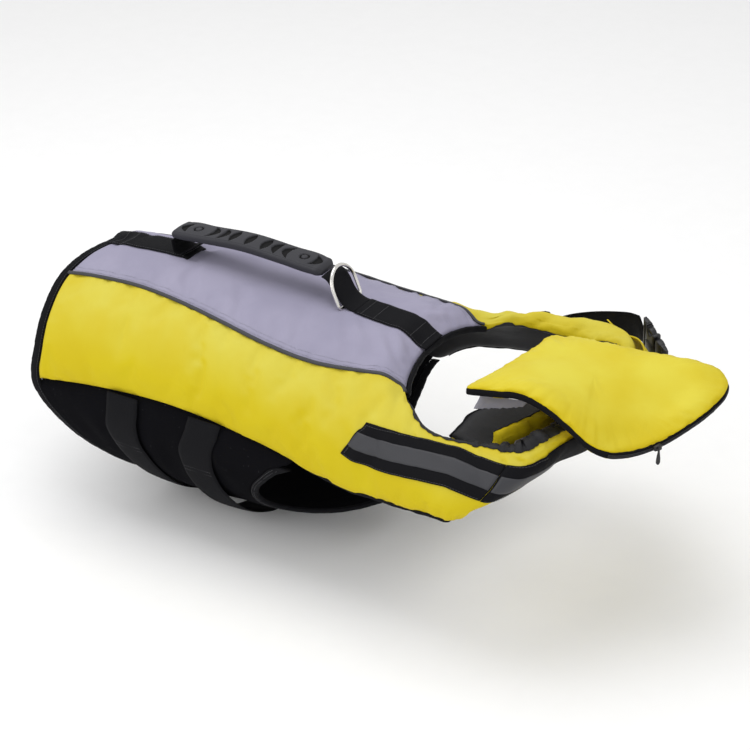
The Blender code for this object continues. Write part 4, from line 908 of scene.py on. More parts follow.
class Padding:
    """The finished faces of one side panel, and how far the cloth stands off its plain form."""

    def __init__(self, which):
        panel = self.panel = SIDES[which]
        self.facing = FOAM_FACING[which]
        self.rows = panel.stations(0, panel.first_arm + FOAM_END[which], 3.6 * MM)
        width = walked_along(panel.at(self.rows, np.linspace(0, 1, 25)), 1)[:, -1]
        share = columns_for(150 * MM)
        edge = np.minimum(share, 1 - share) * 150 * MM
        near = np.minimum(edge[None] / width[:, None], 0.5)
        plain = ease((share - 0.04) / 0.1) * ease((0.96 - share) / 0.1)
        self.shares = mix(np.where(share < 0.5, near, 1 - near), share, plain)
        grid = panel.at(self.rows, self.shares)
        self.on_arm = ease((self.rows - panel.station_of_x(200 * MM)) / 3)[:, None]
        x = grid[:, 0, 0]
        seam = body_point(x, which * (read_edge(TOP_EDGE, x) + SEAM_INSET)) - grid[:, 0]
        seam *= (self.rows < panel.station_of_x(203 * MM))[:, None]
        grid += seam[:, None] * (1 - ease(self.shares / 0.25))[..., None]
        self.grid, self.normals = grid, grid_normals(grid, self.facing)
        self.walks = edge_walks(grid)
        coarse, depth = foam_depth(panel)
        depth = smooth(coarse, depth, self.rows)
        self.inward = across(depth, column_of(side_lines(panel, self.rows), self.shares))
        self.height = self.relief(which)
        rim = mix(0.13, 0.44, self.on_arm)
        turn = turned_in(self.walks, (0.2, 0.40, rim, mix(0.34, 0.42, self.on_arm)), 8 * MM)
        self.face = grid + self.inward * turn[..., None] + self.normals * self.height[..., None]
        turn = turned_in(self.walks, (0.3, 0.40, mix(0.3, 0.44, self.on_arm), 0.42), 9 * MM)
        self.deep = grid + self.inward * (1 - turn)[..., None]
        moved = pressed_out(self.face, self.deep)
        self.height = self.height + (moved * self.normals).sum(-1)
        self.face = self.face + moved

    def relief(self, which):
        seed = 20 + which
        walks = self.walks
        height = side_creases(self.panel, self.grid)
        height += 0.9 * MM * uneven(self.grid, 130 * MM, seed)
        height += 0.35 * MM * self.on_arm * uneven(self.grid, 36 * MM, seed + 1)
        height *= ease(np.min(walks, axis=0) / (12 * MM))
        if which == LEFT:            # the left arm puffs up where it turns down
            for station, reach, rise in ((19.4, 1.4, 8 * MM), (24.3, 1.9, 6.5 * MM)):
                along = np.exp(-(((self.rows - station) / reach) ** 2))[:, None]
                height += rise * along * np.exp(-(((self.shares - 0.36) / 0.24) ** 2))
        loose = mix(0.30, 0.75, self.on_arm) * MM
        height += gathers(walks[0], walks[2], 11 * MM, loose, seed + 2)
        height += gathers(walks[0], walks[3], 13 * MM, loose, seed + 3)
        return height + gathers(walks[2], walks[0], 14 * MM, 0.3 * MM, seed + 4)

    def stand_off(self, stations, shares):
        """How far the cloth stands off the plain form at points given by station and share."""
        wanted = shares.reshape(-1, 1)
        return read_between(self.height, self.rows, stations,
                            lambda rows: column_of(self.shares[rows], wanted))

    def plain_strip(self, start, finish, lines, leans, columns):
        """Grid between two of the panel's lines, its normals, stations and shares.

        The ends lean: their points move back towards the last column by so many metres.
        """
        panel = self.panel
        c = np.linspace(0, 1, columns)[None]
        lengths = panel.length_at([start, finish])
        walk = np.linspace(0, 1, round((lengths[1] - lengths[0]) / STRIP_STEP) + 1)[:, None]
        ends = lengths[:, None] - np.array(leans)[:, None] * c
        stations = panel.station_at(mix(ends[:1], ends[1:], walk))
        place = np.broadcast_to(mix(*lines, c), stations.shape).reshape(-1, 1)
        shares = across(side_lines(panel, stations.ravel()), place).reshape(stations.shape)
        grid = panel.at(stations, shares)
        return grid, grid_normals(grid, self.facing), stations, shares

    def strip(self, start, finish, lines, leans, columns):
        """Such a grid on the cloth, with its normals."""
        grid, normals, stations, shares = self.plain_strip(start, finish, lines, leans, columns)
        grid = grid + normals * self.stand_off(stations, shares)[..., None]
        return grid, grid_normals(grid, self.facing)


PADDING = {which: Padding(which) for which in SIDES}
for which, padding in PADDING.items():
    piece = add_shell(f"side_padding_{SIDE_NAMES[which]}", padding.face, padding.deep, yellow_cloth,
                      "yellow_cloth", painted_border_shade(padding.walks),
                      node=f"side_panel_{SIDE_NAMES[which]}")


# ------------------------------------------------------------------ linings
# Thin black nylon on the inner face of each foam panel. On the arms it is rolled over the
# inner half of the rim and sewn there, so the seam lies on top of the rim and puckers.

def lining_cloth():
    """Coated nylon: a fine tight weave with a slight sheen."""
    finish = Finish("black_lining", Specular_IOR_Level=0.28)
    across, along = finish.weave_places()
    threads = across.wave(0.35 * MM) * along.wave(0.35 * MM)
    clouds = finish.noise(22.0)
    creased = finish.noise(95.0, 4.0)
    colour = finish.blend(clouds * 0.7, (0.009, 0.009, 0.0105, 1), (0.019, 0.0185, 0.0215, 1))
    return finish.done(colour, 0.42 + clouds * 0.16, threads * 0.12 + creased * 1.6, 0.0006, 0.6)


black_lining = lining_cloth()


def lined(name, face, deep, start, finish, seed, node, droop=0.0):
    """Lining over the inner face: rows read from start to finish columns of a round profile.

    The profile of each row runs over the last columns of the outer face, then back along
    the inner one. start and finish count columns of it from the rim and may vary by row.
    droop is how far each row sags inwards a little way below its rim.
    """
    rows, columns = face.shape[:2]
    profile = np.concatenate([face[:, 7::-1], deep, face[:, :-9:-1]], axis=1)
    share = np.linspace(0, 1, columns)[None]
    places = mix(start[:, None], finish[:, None], share) + 8
    under = across(profile, places)
    away = grid_normals(under, 1)
    middle = deep[:, columns // 2] - face[:, columns // 2]
    away *= np.sign((away[:, columns // 2] * middle).sum(-1))[:, None, None]
    slack = 0.55 + 0.45 * uneven(under, 45 * MM, seed)
    slack *= ease(np.min(edge_walks(under), axis=0) / (14 * MM))
    near_rim = np.exp(-(((share - 0.14) / 0.11) ** 2)) * ease(share / 0.06)
    low = under + away * ((0.35 + slack) * MM + droop * near_rim)[..., None]
    return add_shell(name, low + away * 0.7 * MM, low, black_lining, "black_lining", node=node)


rows, columns = back_face.shape[:2]
edge = np.full(rows, 0.3)
piece = lined("lining_cloth_back", back_face, back_deep, edge, columns - 1 - edge, 31,
              "lining_back")
for which, padding in PADDING.items():
    rows, columns = padding.face.shape[:2]
    along = walked_along(padding.face, 0)[:, 0]
    jag = gathers(along, CREST, 7 * MM, 1.0, 40 + which)
    jag += gathers(along, CREST, 19 * MM, 0.8, 50 + which)
    rolled = 2.9 if which == RIGHT else 1.3
    start = mix(0.4, -rolled - 0.8 * np.clip(jag, -1, 1), padding.on_arm[:, 0])
    droop = 19 * MM * np.exp(-(((padding.rows - 28.0) / 2.3) ** 2)) * (which == RIGHT)
    piece = lined(f"lining_cloth_{SIDE_NAMES[which]}", padding.face, padding.deep, start,
                  np.full(rows, columns - 1.2), 33 + which, f"lining_side_{SIDE_NAMES[which]}",
                  droop[:, None])


# ------------------------------------------------------------------ belly panel
# One piece of black neoprene from side seam to side seam, with the two leg holes and the
# tongue between them. It is 3.5 mm thick and tucks under the rims of the yellow panels.

NEOPRENE = 3.5 * MM           # thickness of the belly panel
LEG_HOLE_RIGHT = table(   # front edge of the belly panel: seam, leg hole, tongue
    "angle_deg x_mm",
    (92, 106), (95, 97), (99, 82), (107, 62), (115, 48), (125, 42), (134, 48), (142, 68),
    (150, 98), (158, 126), (168, 147), (180, 153),
)
LEG_HOLE_LEFT = table(
    "angle_deg x_mm",
    (92, 120), (95, 116), (102, 107), (113, 101), (125, 98), (134, 97), (142, 102),
    (150, 113), (158, 130), (168, 147), (180, 153),
)


def leg_hole(angle):
    """Station of the belly panel's front edge, inside the binding of the leg holes."""
    right, left = (hem_line(e, angle, -BINDING - GAP) for e in (LEG_HOLE_RIGHT, LEG_HOLE_LEFT))
    return np.where(wrapped(angle) > 0, left, right)


def belly_grid(rows, columns):
    """Body points from the left seam under the belly to the right one."""
    share = np.linspace(0, 1, columns)[None]
    angle = np.repeat(mix(math.radians(90), math.radians(270), share), rows, axis=0)
    for _ in range(8):
        x = mix(inside_tail(angle), leg_hole(angle), np.linspace(0, 1, rows)[:, None])
        edge = read_edge(LOW_EDGE, x) + SEAM_INSET
        angle = mix(edge, 2 * math.pi - edge, share)
    return body_point(x, angle)


def neoprene():
    """Knitted face on rubber: matt and very dark, with fine loops and pale lint here and there."""
    finish = Finish("black_neoprene", Specular_IOR_Level=0.03)
    across, along = finish.weave_places()
    loops = across.wave(0.5 * MM) * along.wave(0.8 * MM)
    clouds = finish.noise(16.0)
    lint = finish.noise(420.0, 1.0).step(0.76, 0.80)
    dark = finish.blend(clouds, (0.0028, 0.0028, 0.0036, 1), (0.0056, 0.0055, 0.0072, 1))
    colour = finish.blend(lint * 0.35, dark, (0.12, 0.12, 0.13, 1))
    return finish.done(colour, 0.80 + clouds * 0.12, loops * 0.5 + clouds, 0.00025, 0.5)


black_neoprene = neoprene()
belly = belly_grid(90, 150)
belly_normals = grid_normals(belly, 1)
walks = edge_walks(belly)
beside_seam = np.minimum(walks[2], walks[3])
fade = ease(np.min(walks, axis=0) / (16 * MM))
BELLY_FOLDS = (      # x and angle of both ends, then width and depth, for each side
    (-150, 97, -130, 128, 12, 1.4), (-66, 96, -62, 126, 11, 1.5), (-20, 100, 20, 122, 10, 1.2),
    (-90, 135, -60, 172, 14, 1.6), (0, 140, 40, 170, 12, 1.5), (60, 160, 110, 176, 10, 1.4),
    (-190, 100, -160, 122, 12, 1.2),
)
drape = fade * (
    1.1 * MM * uneven(belly, 90 * MM, 61)
    + creases(belly, [
        (body_point(np.linspace(x0, x1, 12) * MM, np.radians(np.linspace(a0, a1, 12)) * side),
         width * MM, depth * MM)
        for side in (RIGHT, LEFT) for x0, a0, x1, a1, width, depth in BELLY_FOLDS
    ])
)
drape += gathers(walks[0], beside_seam, 15 * MM, 0.5 * MM, 63)
tuck = 5.2 * MM * (1 - ease(beside_seam / (9 * MM))) + 0.4 * MM
belly_face = belly + belly_normals * (drape - tuck)[..., None]
piece = add_shell("belly_neoprene", belly_face, belly_face - belly_normals * NEOPRENE,
                  black_neoprene, "black_neoprene", painted_border_shade(walks), node="belly_panel")


# ------------------------------------------------------------------ bindings
# Black grosgrain tape folded over the cut edges and sewn through: 9 mm shows on the tail
# hem and the leg holes, 4 mm on the neck edge and the lower edges of the arms.

EDGE_BINDING = 4.0 * MM       # width of the neck and arm edges


def tape(name, rib, dark, light):
    """Ribbed black tape: round ribs across it in a herringbone, paler on top of the ribs."""
    finish = Finish(name, Specular_IOR_Level=0.08)
    across, along = finish.weave_places()
    slant = across.wave(4.2 * MM).size() * 1.1 * MM
    ribs = (along + slant).wave(rib).size()
    threads = across.wave(0.45 * MM).size()
    clouds = finish.noise(30.0)
    colour = finish.blend(ribs * 0.45 + clouds * 0.5, dark, light)
    return finish.done(colour, 0.60 + clouds * 0.2, ribs + threads * 0.35, 0.00022, 0.6)


grosgrain = tape("black_grosgrain", 0.9 * MM, (0.0034, 0.0034, 0.0044, 1),
                 (0.0085, 0.0085, 0.0105, 1))


def rod_faces(stations, around, closed):
    """Faces of a rod of loops, one per station, with flat ends unless it closes on itself."""
    index = np.arange(stations * around).reshape(stations, around)
    ends = [] if closed else [index[:1, ::-1], index[-1:]]
    index = np.column_stack([index, index[:, 0]])
    if closed:
        index = np.concatenate([index, index[:1]])
    return [quads(index), *ends]


def rod_places(loops):
    """Weave coordinates round and along a rod."""
    round_it, down = walked_along(loops, 1), walked_along(loops, 0)
    return np.stack([round_it, np.broadcast_to(down[:, :1], round_it.shape)], -1)


def add_rod(name, loops, finish, slot, closed=False, **where):
    """A closed skin through loops of points."""
    faces = rod_faces(*loops.shape[:2], closed)
    return add_piece(name, loops, faces, finish, slot, rod_places(loops), **where)


def body_frame(x, angle):
    """Points of the body with unit vectors along it and out of it."""
    x, angle = np.broadcast_arrays(np.asarray(x, float), np.asarray(angle, float))
    ahead = body_point(x + MM, angle) - body_point(x - MM, angle)
    around = body_point(x, angle + 0.01) - body_point(x, angle - 0.01)
    return body_point(x, angle), unit(ahead), unit(np.cross(ahead, around))


def soft_strip(width, thick, count=20, power=3.2):
    """Outline of (side, up) pairs of a strip with full round edges: a superellipse."""
    turn = np.linspace(0, 2 * math.pi, count + 1)[:-1]
    c, s = np.cos(turn), np.sin(turn)
    return np.stack([
        width / 2 * np.sign(c) * np.abs(c) ** (2 / power),
        thick / 2 * np.sign(s) * np.abs(s) ** (2 / power),
    ], -1)


def round_line(centres, outline, side, up):
    """Loops of an outline's (side, up) pairs about each point of a line."""
    return (centres[:, None] + outline[:, :1] * np.expand_dims(side, -2)
            + outline[:, 1:] * np.expand_dims(up, -2))


def hem_tape(name, edge, angles, insets, top, bottom, node, closed=False, seed=70):
    """Tape folded over a hem; top and bottom are its heights over the body's plain form."""
    near, far = insets
    outline = soft_strip(abs(far - near), 1.0)
    along = np.arange(len(angles)) * 2 * MM
    waver = gathers(along, CREST, 17 * MM, 0.35 * MM, seed)
    loops = []
    for side, up in outline:
        inset = (near + far) / 2 + side + waver * (side > 0)
        points, _, ups = body_frame(hem_line(edge, angles, inset), angles)
        height = mix(bottom, top, up + 0.5)
        height = height + 0.25 * MM * gathers(along, CREST, 9 * MM, 1, seed + 1)
        loops.append(points + ups * np.reshape(height, (-1, 1)))
    add_rod(name, np.stack(loops, axis=1), grosgrain, "black_webbing", closed, node=node)


tail_angles = np.linspace(-math.pi, math.pi, 421)[:-1]
in_foam = 1 - ease((np.degrees(np.abs(tail_angles)) - 86) / 9)
hem_tape("tail_tape", TAIL_HEM, tail_angles, (0, TAIL_BINDING), mix(0.6 * MM, -0.9 * MM, in_foam),
         mix(-4.4 * MM, -10.6 * MM, in_foam), "tail_binding", closed=True)
neck_angles = np.linspace(back_angles[-1, 0], back_angles[-1, -1], 70) * 0.99
hem_tape("neck_tape", NECK_HEM, neck_angles, (0, EDGE_BINDING), np.full(70, -0.9 * MM),
         np.full(70, -7.6 * MM), "neck_binding", seed=72)
for which, edge in ((RIGHT, LEG_HOLE_RIGHT), (LEFT, LEG_HOLE_LEFT)):
    name = SIDE_NAMES[which]
    hole = np.radians(np.linspace(95.0, 179.6, 130)) * which
    hem_tape(f"leg_tape_{name}", edge, hole, (0, -BINDING), np.full(130, 0.7 * MM),
             np.full(130, -4.6 * MM), f"leg_binding_{name}", seed=74 + which)

    padding = PADDING[which]
    bound = padding.rows > SIDES[which].station_of_x(edge["x"][0] + 6 * MM)
    grid, inward = padding.grid[bound], padding.inward[bound, -1]
    ups = padding.normals[bound][:, -1]
    outward = unit(grid[:, -1] - grid[:, -2])
    along = walked_along(grid, 0)[:, -1]
    stands_out = (0.8 + 0.5 * gathers(along, CREST, 22 * MM, 1.0, 80 + which)) * MM
    centres = grid[:, -1] + inward * 0.5 + outward * stands_out[:, None]
    loops = round_line(centres, soft_strip(EDGE_BINDING, 4.6 * MM), outward, ups)
    add_rod(f"arm_tape_{name}", loops, grosgrain, "black_webbing", node=f"arm_binding_{name}")


# ------------------------------------------------------------------ reflective piping
# A cord in dark reflective fabric, sewn into both seams between grey and yellow. Each runs
# from the tail binding to the neck edge and wavers a little with its seam.

PIPING = 5.0 * MM


def reflective():
    """Tape coated with glass beads: dark grey, crossed by fine ribs of its ground weave."""
    finish = Finish("reflective_tape", Specular_IOR_Level=0.35)
    across, along = finish.weave_places()
    ribs = along.wave(1.5 * MM).size()
    clouds = finish.noise(24.0)
    beads = finish.noise(1600.0, 1.0)
    colour = finish.blend(ribs * 0.5 + clouds * 0.4, (0.026, 0.0265, 0.031, 1),
                          (0.048, 0.0485, 0.055, 1))
    return finish.done(colour, 0.40 + clouds * 0.16, ribs + beads * 0.25, 0.00018, 0.5)


reflective_tape = reflective()
for which in SIDES:
    x = back_x[:, 0 if which == RIGHT else -1]
    x = np.linspace(x[0], x[-1], 220)
    angle = which * read_edge(TOP_EDGE, x)
    points, _, ups = body_frame(x, angle)
    along = walked_along(points[:, None], 0)[:, 0]
    lift = 0.3 * MM + gathers(along, CREST, 26 * MM, 0.18 * MM, 90 + which)
    outward = unit(np.cross(ups, np.gradient(points, axis=0)))
    outline = soft_strip(PIPING - 0.6 * MM, 2.9 * MM, 14, 2.2)
    loops = round_line(points + ups * lift[:, None], outline, outward, ups)
    add_rod(f"piping_cord_{SIDE_NAMES[which]}", loops, reflective_tape, "reflective_tape",
            node=f"piping_{SIDE_NAMES[which]}")


# ------------------------------------------------------------------ spine webbing and handle
# 38 mm black polypropylene webbing: one length sewn along the spine at the tail, folded up
# into the handle, down again round the ring's bar and sewn forward to the neck edge.

WEBBING = 38.0 * MM           # width of the spine and handle straps
HANDLE_FRONT = table(
    "x_mm z_mm", (60, 38.6), (66, 36.5), (73, 29.5), (79, 20.5), (85, 12.6), (92, 8.6), (100, 6.9)
)
HANDLE_REAR = table(
    "x_mm z_mm", (-95, 38.5), (-104, 33), (-114, 26), (-121, 21), (-126, 19.9), (-130, 22),
    (-132, 28), (-132.5, 36.5),
)

webbing = tape("black_webbing", 1.35 * MM, (0.0026, 0.0026, 0.0036, 1), (0.0085, 0.0085, 0.0105, 1))


SPINE_TOP = 2.0 * MM          # how far the sewn webbing's face stands over the cloth
WEBBING_HALF = 0.9 * MM       # half of the free webbing's thickness


def add_strap(name, grid, normals, bottom, top, finish, slot, node):
    """Flat webbing between two heights over a grid, its long edges thinned to a round."""
    q = np.abs(np.linspace(-1, 1, grid.shape[1]))[None]
    pinch = (top - bottom) / 2 * 0.8 * q**10
    outer = grid + normals * (top - pinch)[..., None]
    inner = grid + normals * (bottom + pinch)[..., None]
    return add_shell(name, outer, inner, finish, slot, node=node)


def back_height_at(x, angle):
    """How far the grey cloth stands off its plain form."""
    share = angle / (read_edge(TOP_EDGE, x) - SEAM_INSET)
    shares = mix(-1, 1, columns_for(180 * MM))
    column = np.interp(share, shares, np.arange(len(shares))).reshape(-1, 1)
    return read_between(back_height, back_x[:, back.shape[1] // 2], x, lambda rows: column)


def on_back(start, finish, half_width, seed, columns=11):
    """Grid on the grey cloth about the spine; its tail end follows the tape there."""
    count = round((finish - start) / (2.5 * MM))
    waver = gathers(np.linspace(start, finish, count)[:, None], CREST, 34 * MM, 0.5 * MM, seed)
    y = np.linspace(-1, 1, columns)[None] * (half_width + waver)
    share = np.linspace(0, 1, count)[:, None]
    x = mix(np.maximum(start, inside_tail(angle_of_y(start, y)) - 1 * MM), finish, share)
    angle = angle_of_y(x, y)
    grid = body_point(x, angle)
    normals = grid_normals(grid, 1)
    return grid + normals * back_height_at(x, angle)[..., None], normals


for name, start, finish, node in (
    ("tail_webbing", -229, -112, "spine_webbing_rear"),
    ("neck_webbing", 100, 186.5, "spine_webbing_front"),
):
    grid, normals = on_back(start * MM, finish * MM, WEBBING / 2, 101)
    add_strap(name, grid, normals, 0.2 * MM, SPINE_TOP, webbing, "black_webbing", node)


def loop_strap(name, rows, node, seed):
    """Webbing along a line of x and z in the middle plane, cupped a little across."""
    line = np.stack([rows["x"], 0 * rows["x"], rows["z"]], axis=1)
    walked = walked_along(line[:, None], 0)[:, 0]
    line = smooth(walked, line, np.linspace(0, walked[-1], round(walked[-1] / (1.2 * MM))))
    ups = unit(np.cross(unit(np.gradient(line, axis=0)), [0, 1.0, 0]))
    q = np.linspace(-1, 1, 11)
    waver = gathers(np.arange(len(line)) * 1.2 * MM, CREST, 30 * MM, 0.5 * MM, seed)
    sides = q[None, :, None] * (WEBBING / 2 - 1 * MM + waver)[:, None, None] * [0, 1.0, 0]
    grid = line[:, None] + sides - ups[:, None] * (0.6 * MM * q**2)[None, :, None]
    normals = np.broadcast_to(ups[:, None], grid.shape)
    add_strap(name, grid, normals, -WEBBING_HALF, WEBBING_HALF, webbing, "black_webbing", node)


loop_strap("handle_loop_rear", HANDLE_REAR, "handle_webbing_rear", 104)
loop_strap("handle_loop_front", HANDLE_FRONT, "handle_webbing_front", 105)


# ------------------------------------------------------------------ handle grip
# A moulded rubber sleeve over the webbing handle, arched along the spine. Ovals, crescents
# and one ring are sunk into its top for grip; its long sides drape down past the webbing.

GRIP = table(      # its underside, its thickness over that and its half width
    "x_mm low_mm thick_mm half_width_mm",
    (-136, 39.0, 5.0, 12), (-133, 38.9, 7.5, 15.5), (-126, 39.4, 8.2, 17.5), (-95, 41.0, 8.5, 17.5),
    (-43, 43.5, 9.0, 17.5), (8, 40.5, 8.5, 17.5), (46, 37.6, 8.2, 17.5), (54, 36.7, 7.5, 15.5),
    (57, 36.6, 5.0, 12),
)
GRIP_MIDDLE = -39.5 * MM
RECESS = 2.4 * MM
# Recesses from the middle of the grip to its end; each end mirrors the other.
RECESSES = table(
    "from_middle_mm half_length_mm half_width_mm bend_mm",
    (20, 13, 4.2, 0), (37, 13, 3.6, 5), (53, 13.5, 3.6, 8), (78, 11.5, 4.0, -7),
)
EYE = 68 * MM


def rubber():
    """Matt moulded rubber, finely grained, rougher inside the recesses, with painted shade there.
    """
    finish = Finish("moulded_rubber", Specular_IOR_Level=0.3)
    sunk = finish.edge().step(0.05, 0.6)
    clouds = finish.noise(35.0)
    grain = finish.noise(1400.0, 2.0)
    colour = finish.blend(clouds, (0.022, 0.022, 0.0275, 1), (0.030, 0.030, 0.037, 1))
    # Painted shade: the recesses are blended to near black.
    colour = finish.blend(sunk, colour, (0.0015, 0.0015, 0.002, 1))
    return finish.done(colour, 0.50 + clouds * 0.12 + sunk * 0.3, grain, 0.00008, 0.5)


def sunk_by(x, y):
    """Depth of the recesses: each is a lens across the grip, bent into a crescent."""
    depth = np.zeros_like(x)
    shapes = [(0, 14 * MM, 4.8 * MM, 0.0)]
    for end in (-1, 1):
        shapes += [
            (end * at, 1.06 * length, 1.15 * width, -end * bend)
            for at, length, width, bend in zip(*RECESSES.values())
        ]
    for place, length, width, bend in shapes:
        curve = 1 - (y / length) ** 2
        inside = width * curve - np.abs(x - GRIP_MIDDLE - place - bend * curve)
        depth = np.maximum(depth, ease(inside / (0.9 * MM) + 0.3) * (np.abs(y) < length))
    for end in (-1, 1):
        away = np.hypot(x - GRIP_MIDDLE - end * EYE, y * 0.8)
        depth = np.maximum(depth, ease(1.4 - np.abs(away - 4.4 * MM) / (1.0 * MM)))
    return depth


x = np.concatenate([
    np.array([-136, -135.2, -133.5]) * MM, np.linspace(-131.5, 52.5, 185) * MM,
    np.array([54.5, 56.2, 57]) * MM,
])
half_width, low, thick = (
    smooth(GRIP["x"], GRIP[column], x)[:, None] for column in ("half_width", "low", "thick")
)
turn = np.linspace(0, 1, 15)[None]
rounding = 2.4 * MM
# Round the section: over the top from right to left, down the side, back underneath.
flat, wall, under = np.linspace(-1, 1, 41)[None], turn[:, 2::2], np.linspace(1, -1, 12)[None]
crown = 1.1 * MM
shoulder = thick - crown - rounding
out, drop = rounding * (1 - np.sin(turn * math.pi / 2)), rounding * (1 - np.cos(turn * math.pi / 2))
top_across = flat * (half_width - rounding)
over = np.concatenate([
    top_across, half_width - out, half_width - 1.0 * MM * wall**2,
    under * (half_width - 1.6 * MM),
    -half_width + 1.0 * MM * turn[:, :1:-2] ** 2, -half_width + out[:, ::-1],
], axis=1)
up = np.concatenate([
    thick - crown * (top_across / half_width) ** 2, thick - crown - drop,
    mix(shoulder, 0, wall), 0 * thick + 0 * under,
    mix(0, shoulder, turn[:, :-2:2]), thick - crown - drop[:, ::-1],
], axis=1)
sunk = np.zeros_like(over)
sunk[:, :41] = sunk_by(x[:, None] + 0 * top_across, top_across)
loops = np.stack([x[:, None] + 0 * over, over, low + up - RECESS * sunk], axis=-1)
# The recess depth is also the mask of the painted shade in the recesses.
add_rod("rubber_grip", loops, rubber(), "moulded_rubber", edge=sunk**2, node="handle_grip")


# ------------------------------------------------------------------ lead ring
# A welded D of 4 mm nickel-plated wire; its straight bar lies in the webbing's fold, so it
# swings there. It rides on its own body.

RING_BAR = np.array([85.0, 0, 7.0]) * MM
RING_LEAN = math.radians(22)
RING_HALF_WIDTH = 22.5 * MM
RING_HEIGHT = 42 * MM
RING_WIRE = 4.0 * MM
RING_CORNER = 5 * MM          # radius of the middle line's two corners


def nickel():
    """Plated steel: bright, with drawn scratches and duller patches."""
    finish = Finish("nickel", Metallic=1.0)
    clouds = finish.noise(60.0)
    scratches = finish.noise(900.0, 2.0)
    colour = finish.blend(clouds, (0.70, 0.68, 0.65, 1), (0.80, 0.78, 0.74, 1))
    return finish.done(colour, 0.14 + clouds * 0.12 + scratches * 0.05, scratches, 0.00003, 0.4)


nickel_plate = nickel()


def arc(y, z, radius, start, finish, count):
    """Points of y and z on an arc, with its angles in degrees."""
    turn = np.radians(np.linspace(start, finish, count))
    return np.stack([y + radius * np.cos(turn), z + radius * np.sin(turn)], -1)


# Middle line of the D: a straight bar, two small corners, two legs and half a circle.
reach = RING_HALF_WIDTH - RING_CORNER
line = np.concatenate([
    arc(reach, RING_CORNER, RING_CORNER, -90, 0, 9),
    arc(0, RING_HEIGHT - RING_HALF_WIDTH, RING_HALF_WIDTH, 0, 180, 61),
    arc(-reach, RING_CORNER, RING_CORNER, 180, 270, 9),
    np.stack([np.linspace(-reach, reach, 22)[1:-1], np.zeros(20)], -1),
])
line = np.column_stack([np.zeros(len(line)), line])
ahead = unit(np.roll(line, -1, axis=0) - np.roll(line, 1, axis=0))
outline = soft_strip(RING_WIRE, RING_WIRE, 16, 2)
outward = np.cross([1.0, 0, 0], ahead)
weld = 1 + 0.10 * np.exp(-((line[:, 1] / (2.2 * MM)) ** 2)) * (line[:, 2] < 1 * MM)
loops = round_line(0 * line, outline, outward, np.array([1.0, 0, 0]))
loops = line[:, None] + weld[:, None, None] * loops
lean = np.array([
    [math.cos(RING_LEAN), 0, -math.sin(RING_LEAN)], [0, 1, 0],
    [math.sin(RING_LEAN), 0, math.cos(RING_LEAN)],
])
add_rod("lead_ring", loops @ lean.T + RING_BAR, nickel_plate, "nickel", True, node="d_ring",
        body="ring")


# ------------------------------------------------------------------ belly straps and buckles
# Two girth straps of the same webbing, sewn into the seams under the yellow panels and
# stitched down 45 mm below them. They hang free under the belly, and each is closed on
# the left side by a fastened side-release buckle; the front one has the same buckle.

BELLY_WEBBING = 42.0 * MM     # width of the belly straps
BUCKLE_LENGTH = 52 * MM
BUCKLE_THICK = 9 * MM
BUCKLE_ANGLE = math.radians(118)     # where the belly buckles sit on the left side
BELLY_STRAPS = {
    "rear": (
        table("angle_deg x_mm", (86, -118), (104, -123), (114, -116), (125, -108), (145, -100),
              (180, -97)),
        table("angle_deg lift_mm", (88, 1.7), (97, 1.7), (112, 6), (128, 10), (150, 10), (180, 6),
              (210, 3.5), (245, 2), (274, 1.7)),
    ),
    "front": (
        table("angle_deg x_mm", (86, -10), (100, -25), (113, -24), (127, -18), (145, -11),
              (180, -7)),
        table("angle_deg lift_mm", (88, 1.7), (97, 1.7), (112, 6), (128, 11), (150, 13), (180, 11),
              (210, 9), (235, 5), (262, 1.7), (274, 1.7)),
    ),
}


def strap_line(strap, start, finish, count):
    """Middle, across and outward vectors of a belly strap between two angles."""
    place, slack = strap
    angle = np.linspace(start, finish, count)
    turned = np.abs(wrapped(angle))
    points, along, ups = body_frame(smooth(place["angle"], place["x"], turned), angle)
    lift = smooth(slack["angle"], slack["lift"], angle)
    return points + ups * lift[:, None], along, ups


def plastic():
    """Moulded acetal: satin black, finely textured, with faint scuffs."""
    finish = Finish("black_plastic", Specular_IOR_Level=0.4)
    clouds = finish.noise(45.0)
    grain = finish.noise(1500.0, 2.0)
    scuffs = finish.noise(240.0, 5.0).step(0.62, 0.75)
    colour = finish.blend(scuffs * 0.5, (0.0105, 0.0105, 0.0125, 1), (0.030, 0.030, 0.034, 1))
    return finish.done(colour, 0.30 + clouds * 0.14 + scuffs * 0.12, grain, 0.00005, 0.45)


black_plastic = plastic()


CORNER_POINTS = 9


def rounded_ring(half_width, half_thick, corner):
    """Outline of a rounded oblong as (side, up) pairs."""
    turn = np.radians(np.linspace(0, 90, CORNER_POINTS))
    rounds = []
    for quarter, (a, b) in enumerate(((1, 1), (-1, 1), (-1, -1), (1, -1))):
        way = turn + quarter * math.pi / 2
        rounds.append(np.stack([
            a * (half_width - corner) + corner * np.cos(way),
            b * (half_thick - corner) + corner * np.sin(way),
        ], -1))
    return np.concatenate(rounds)


def lofted(sections):
    """Loops from rows of (along, half width, half thickness, corner, sideways, up)."""
    return np.stack([
        np.column_stack([np.full(4 * CORNER_POINTS, along),
                         rounded_ring(wide, thick, min(corner, wide * 0.98, thick * 0.98)) + at])
        for along, wide, thick, corner, *at in sections
    ])


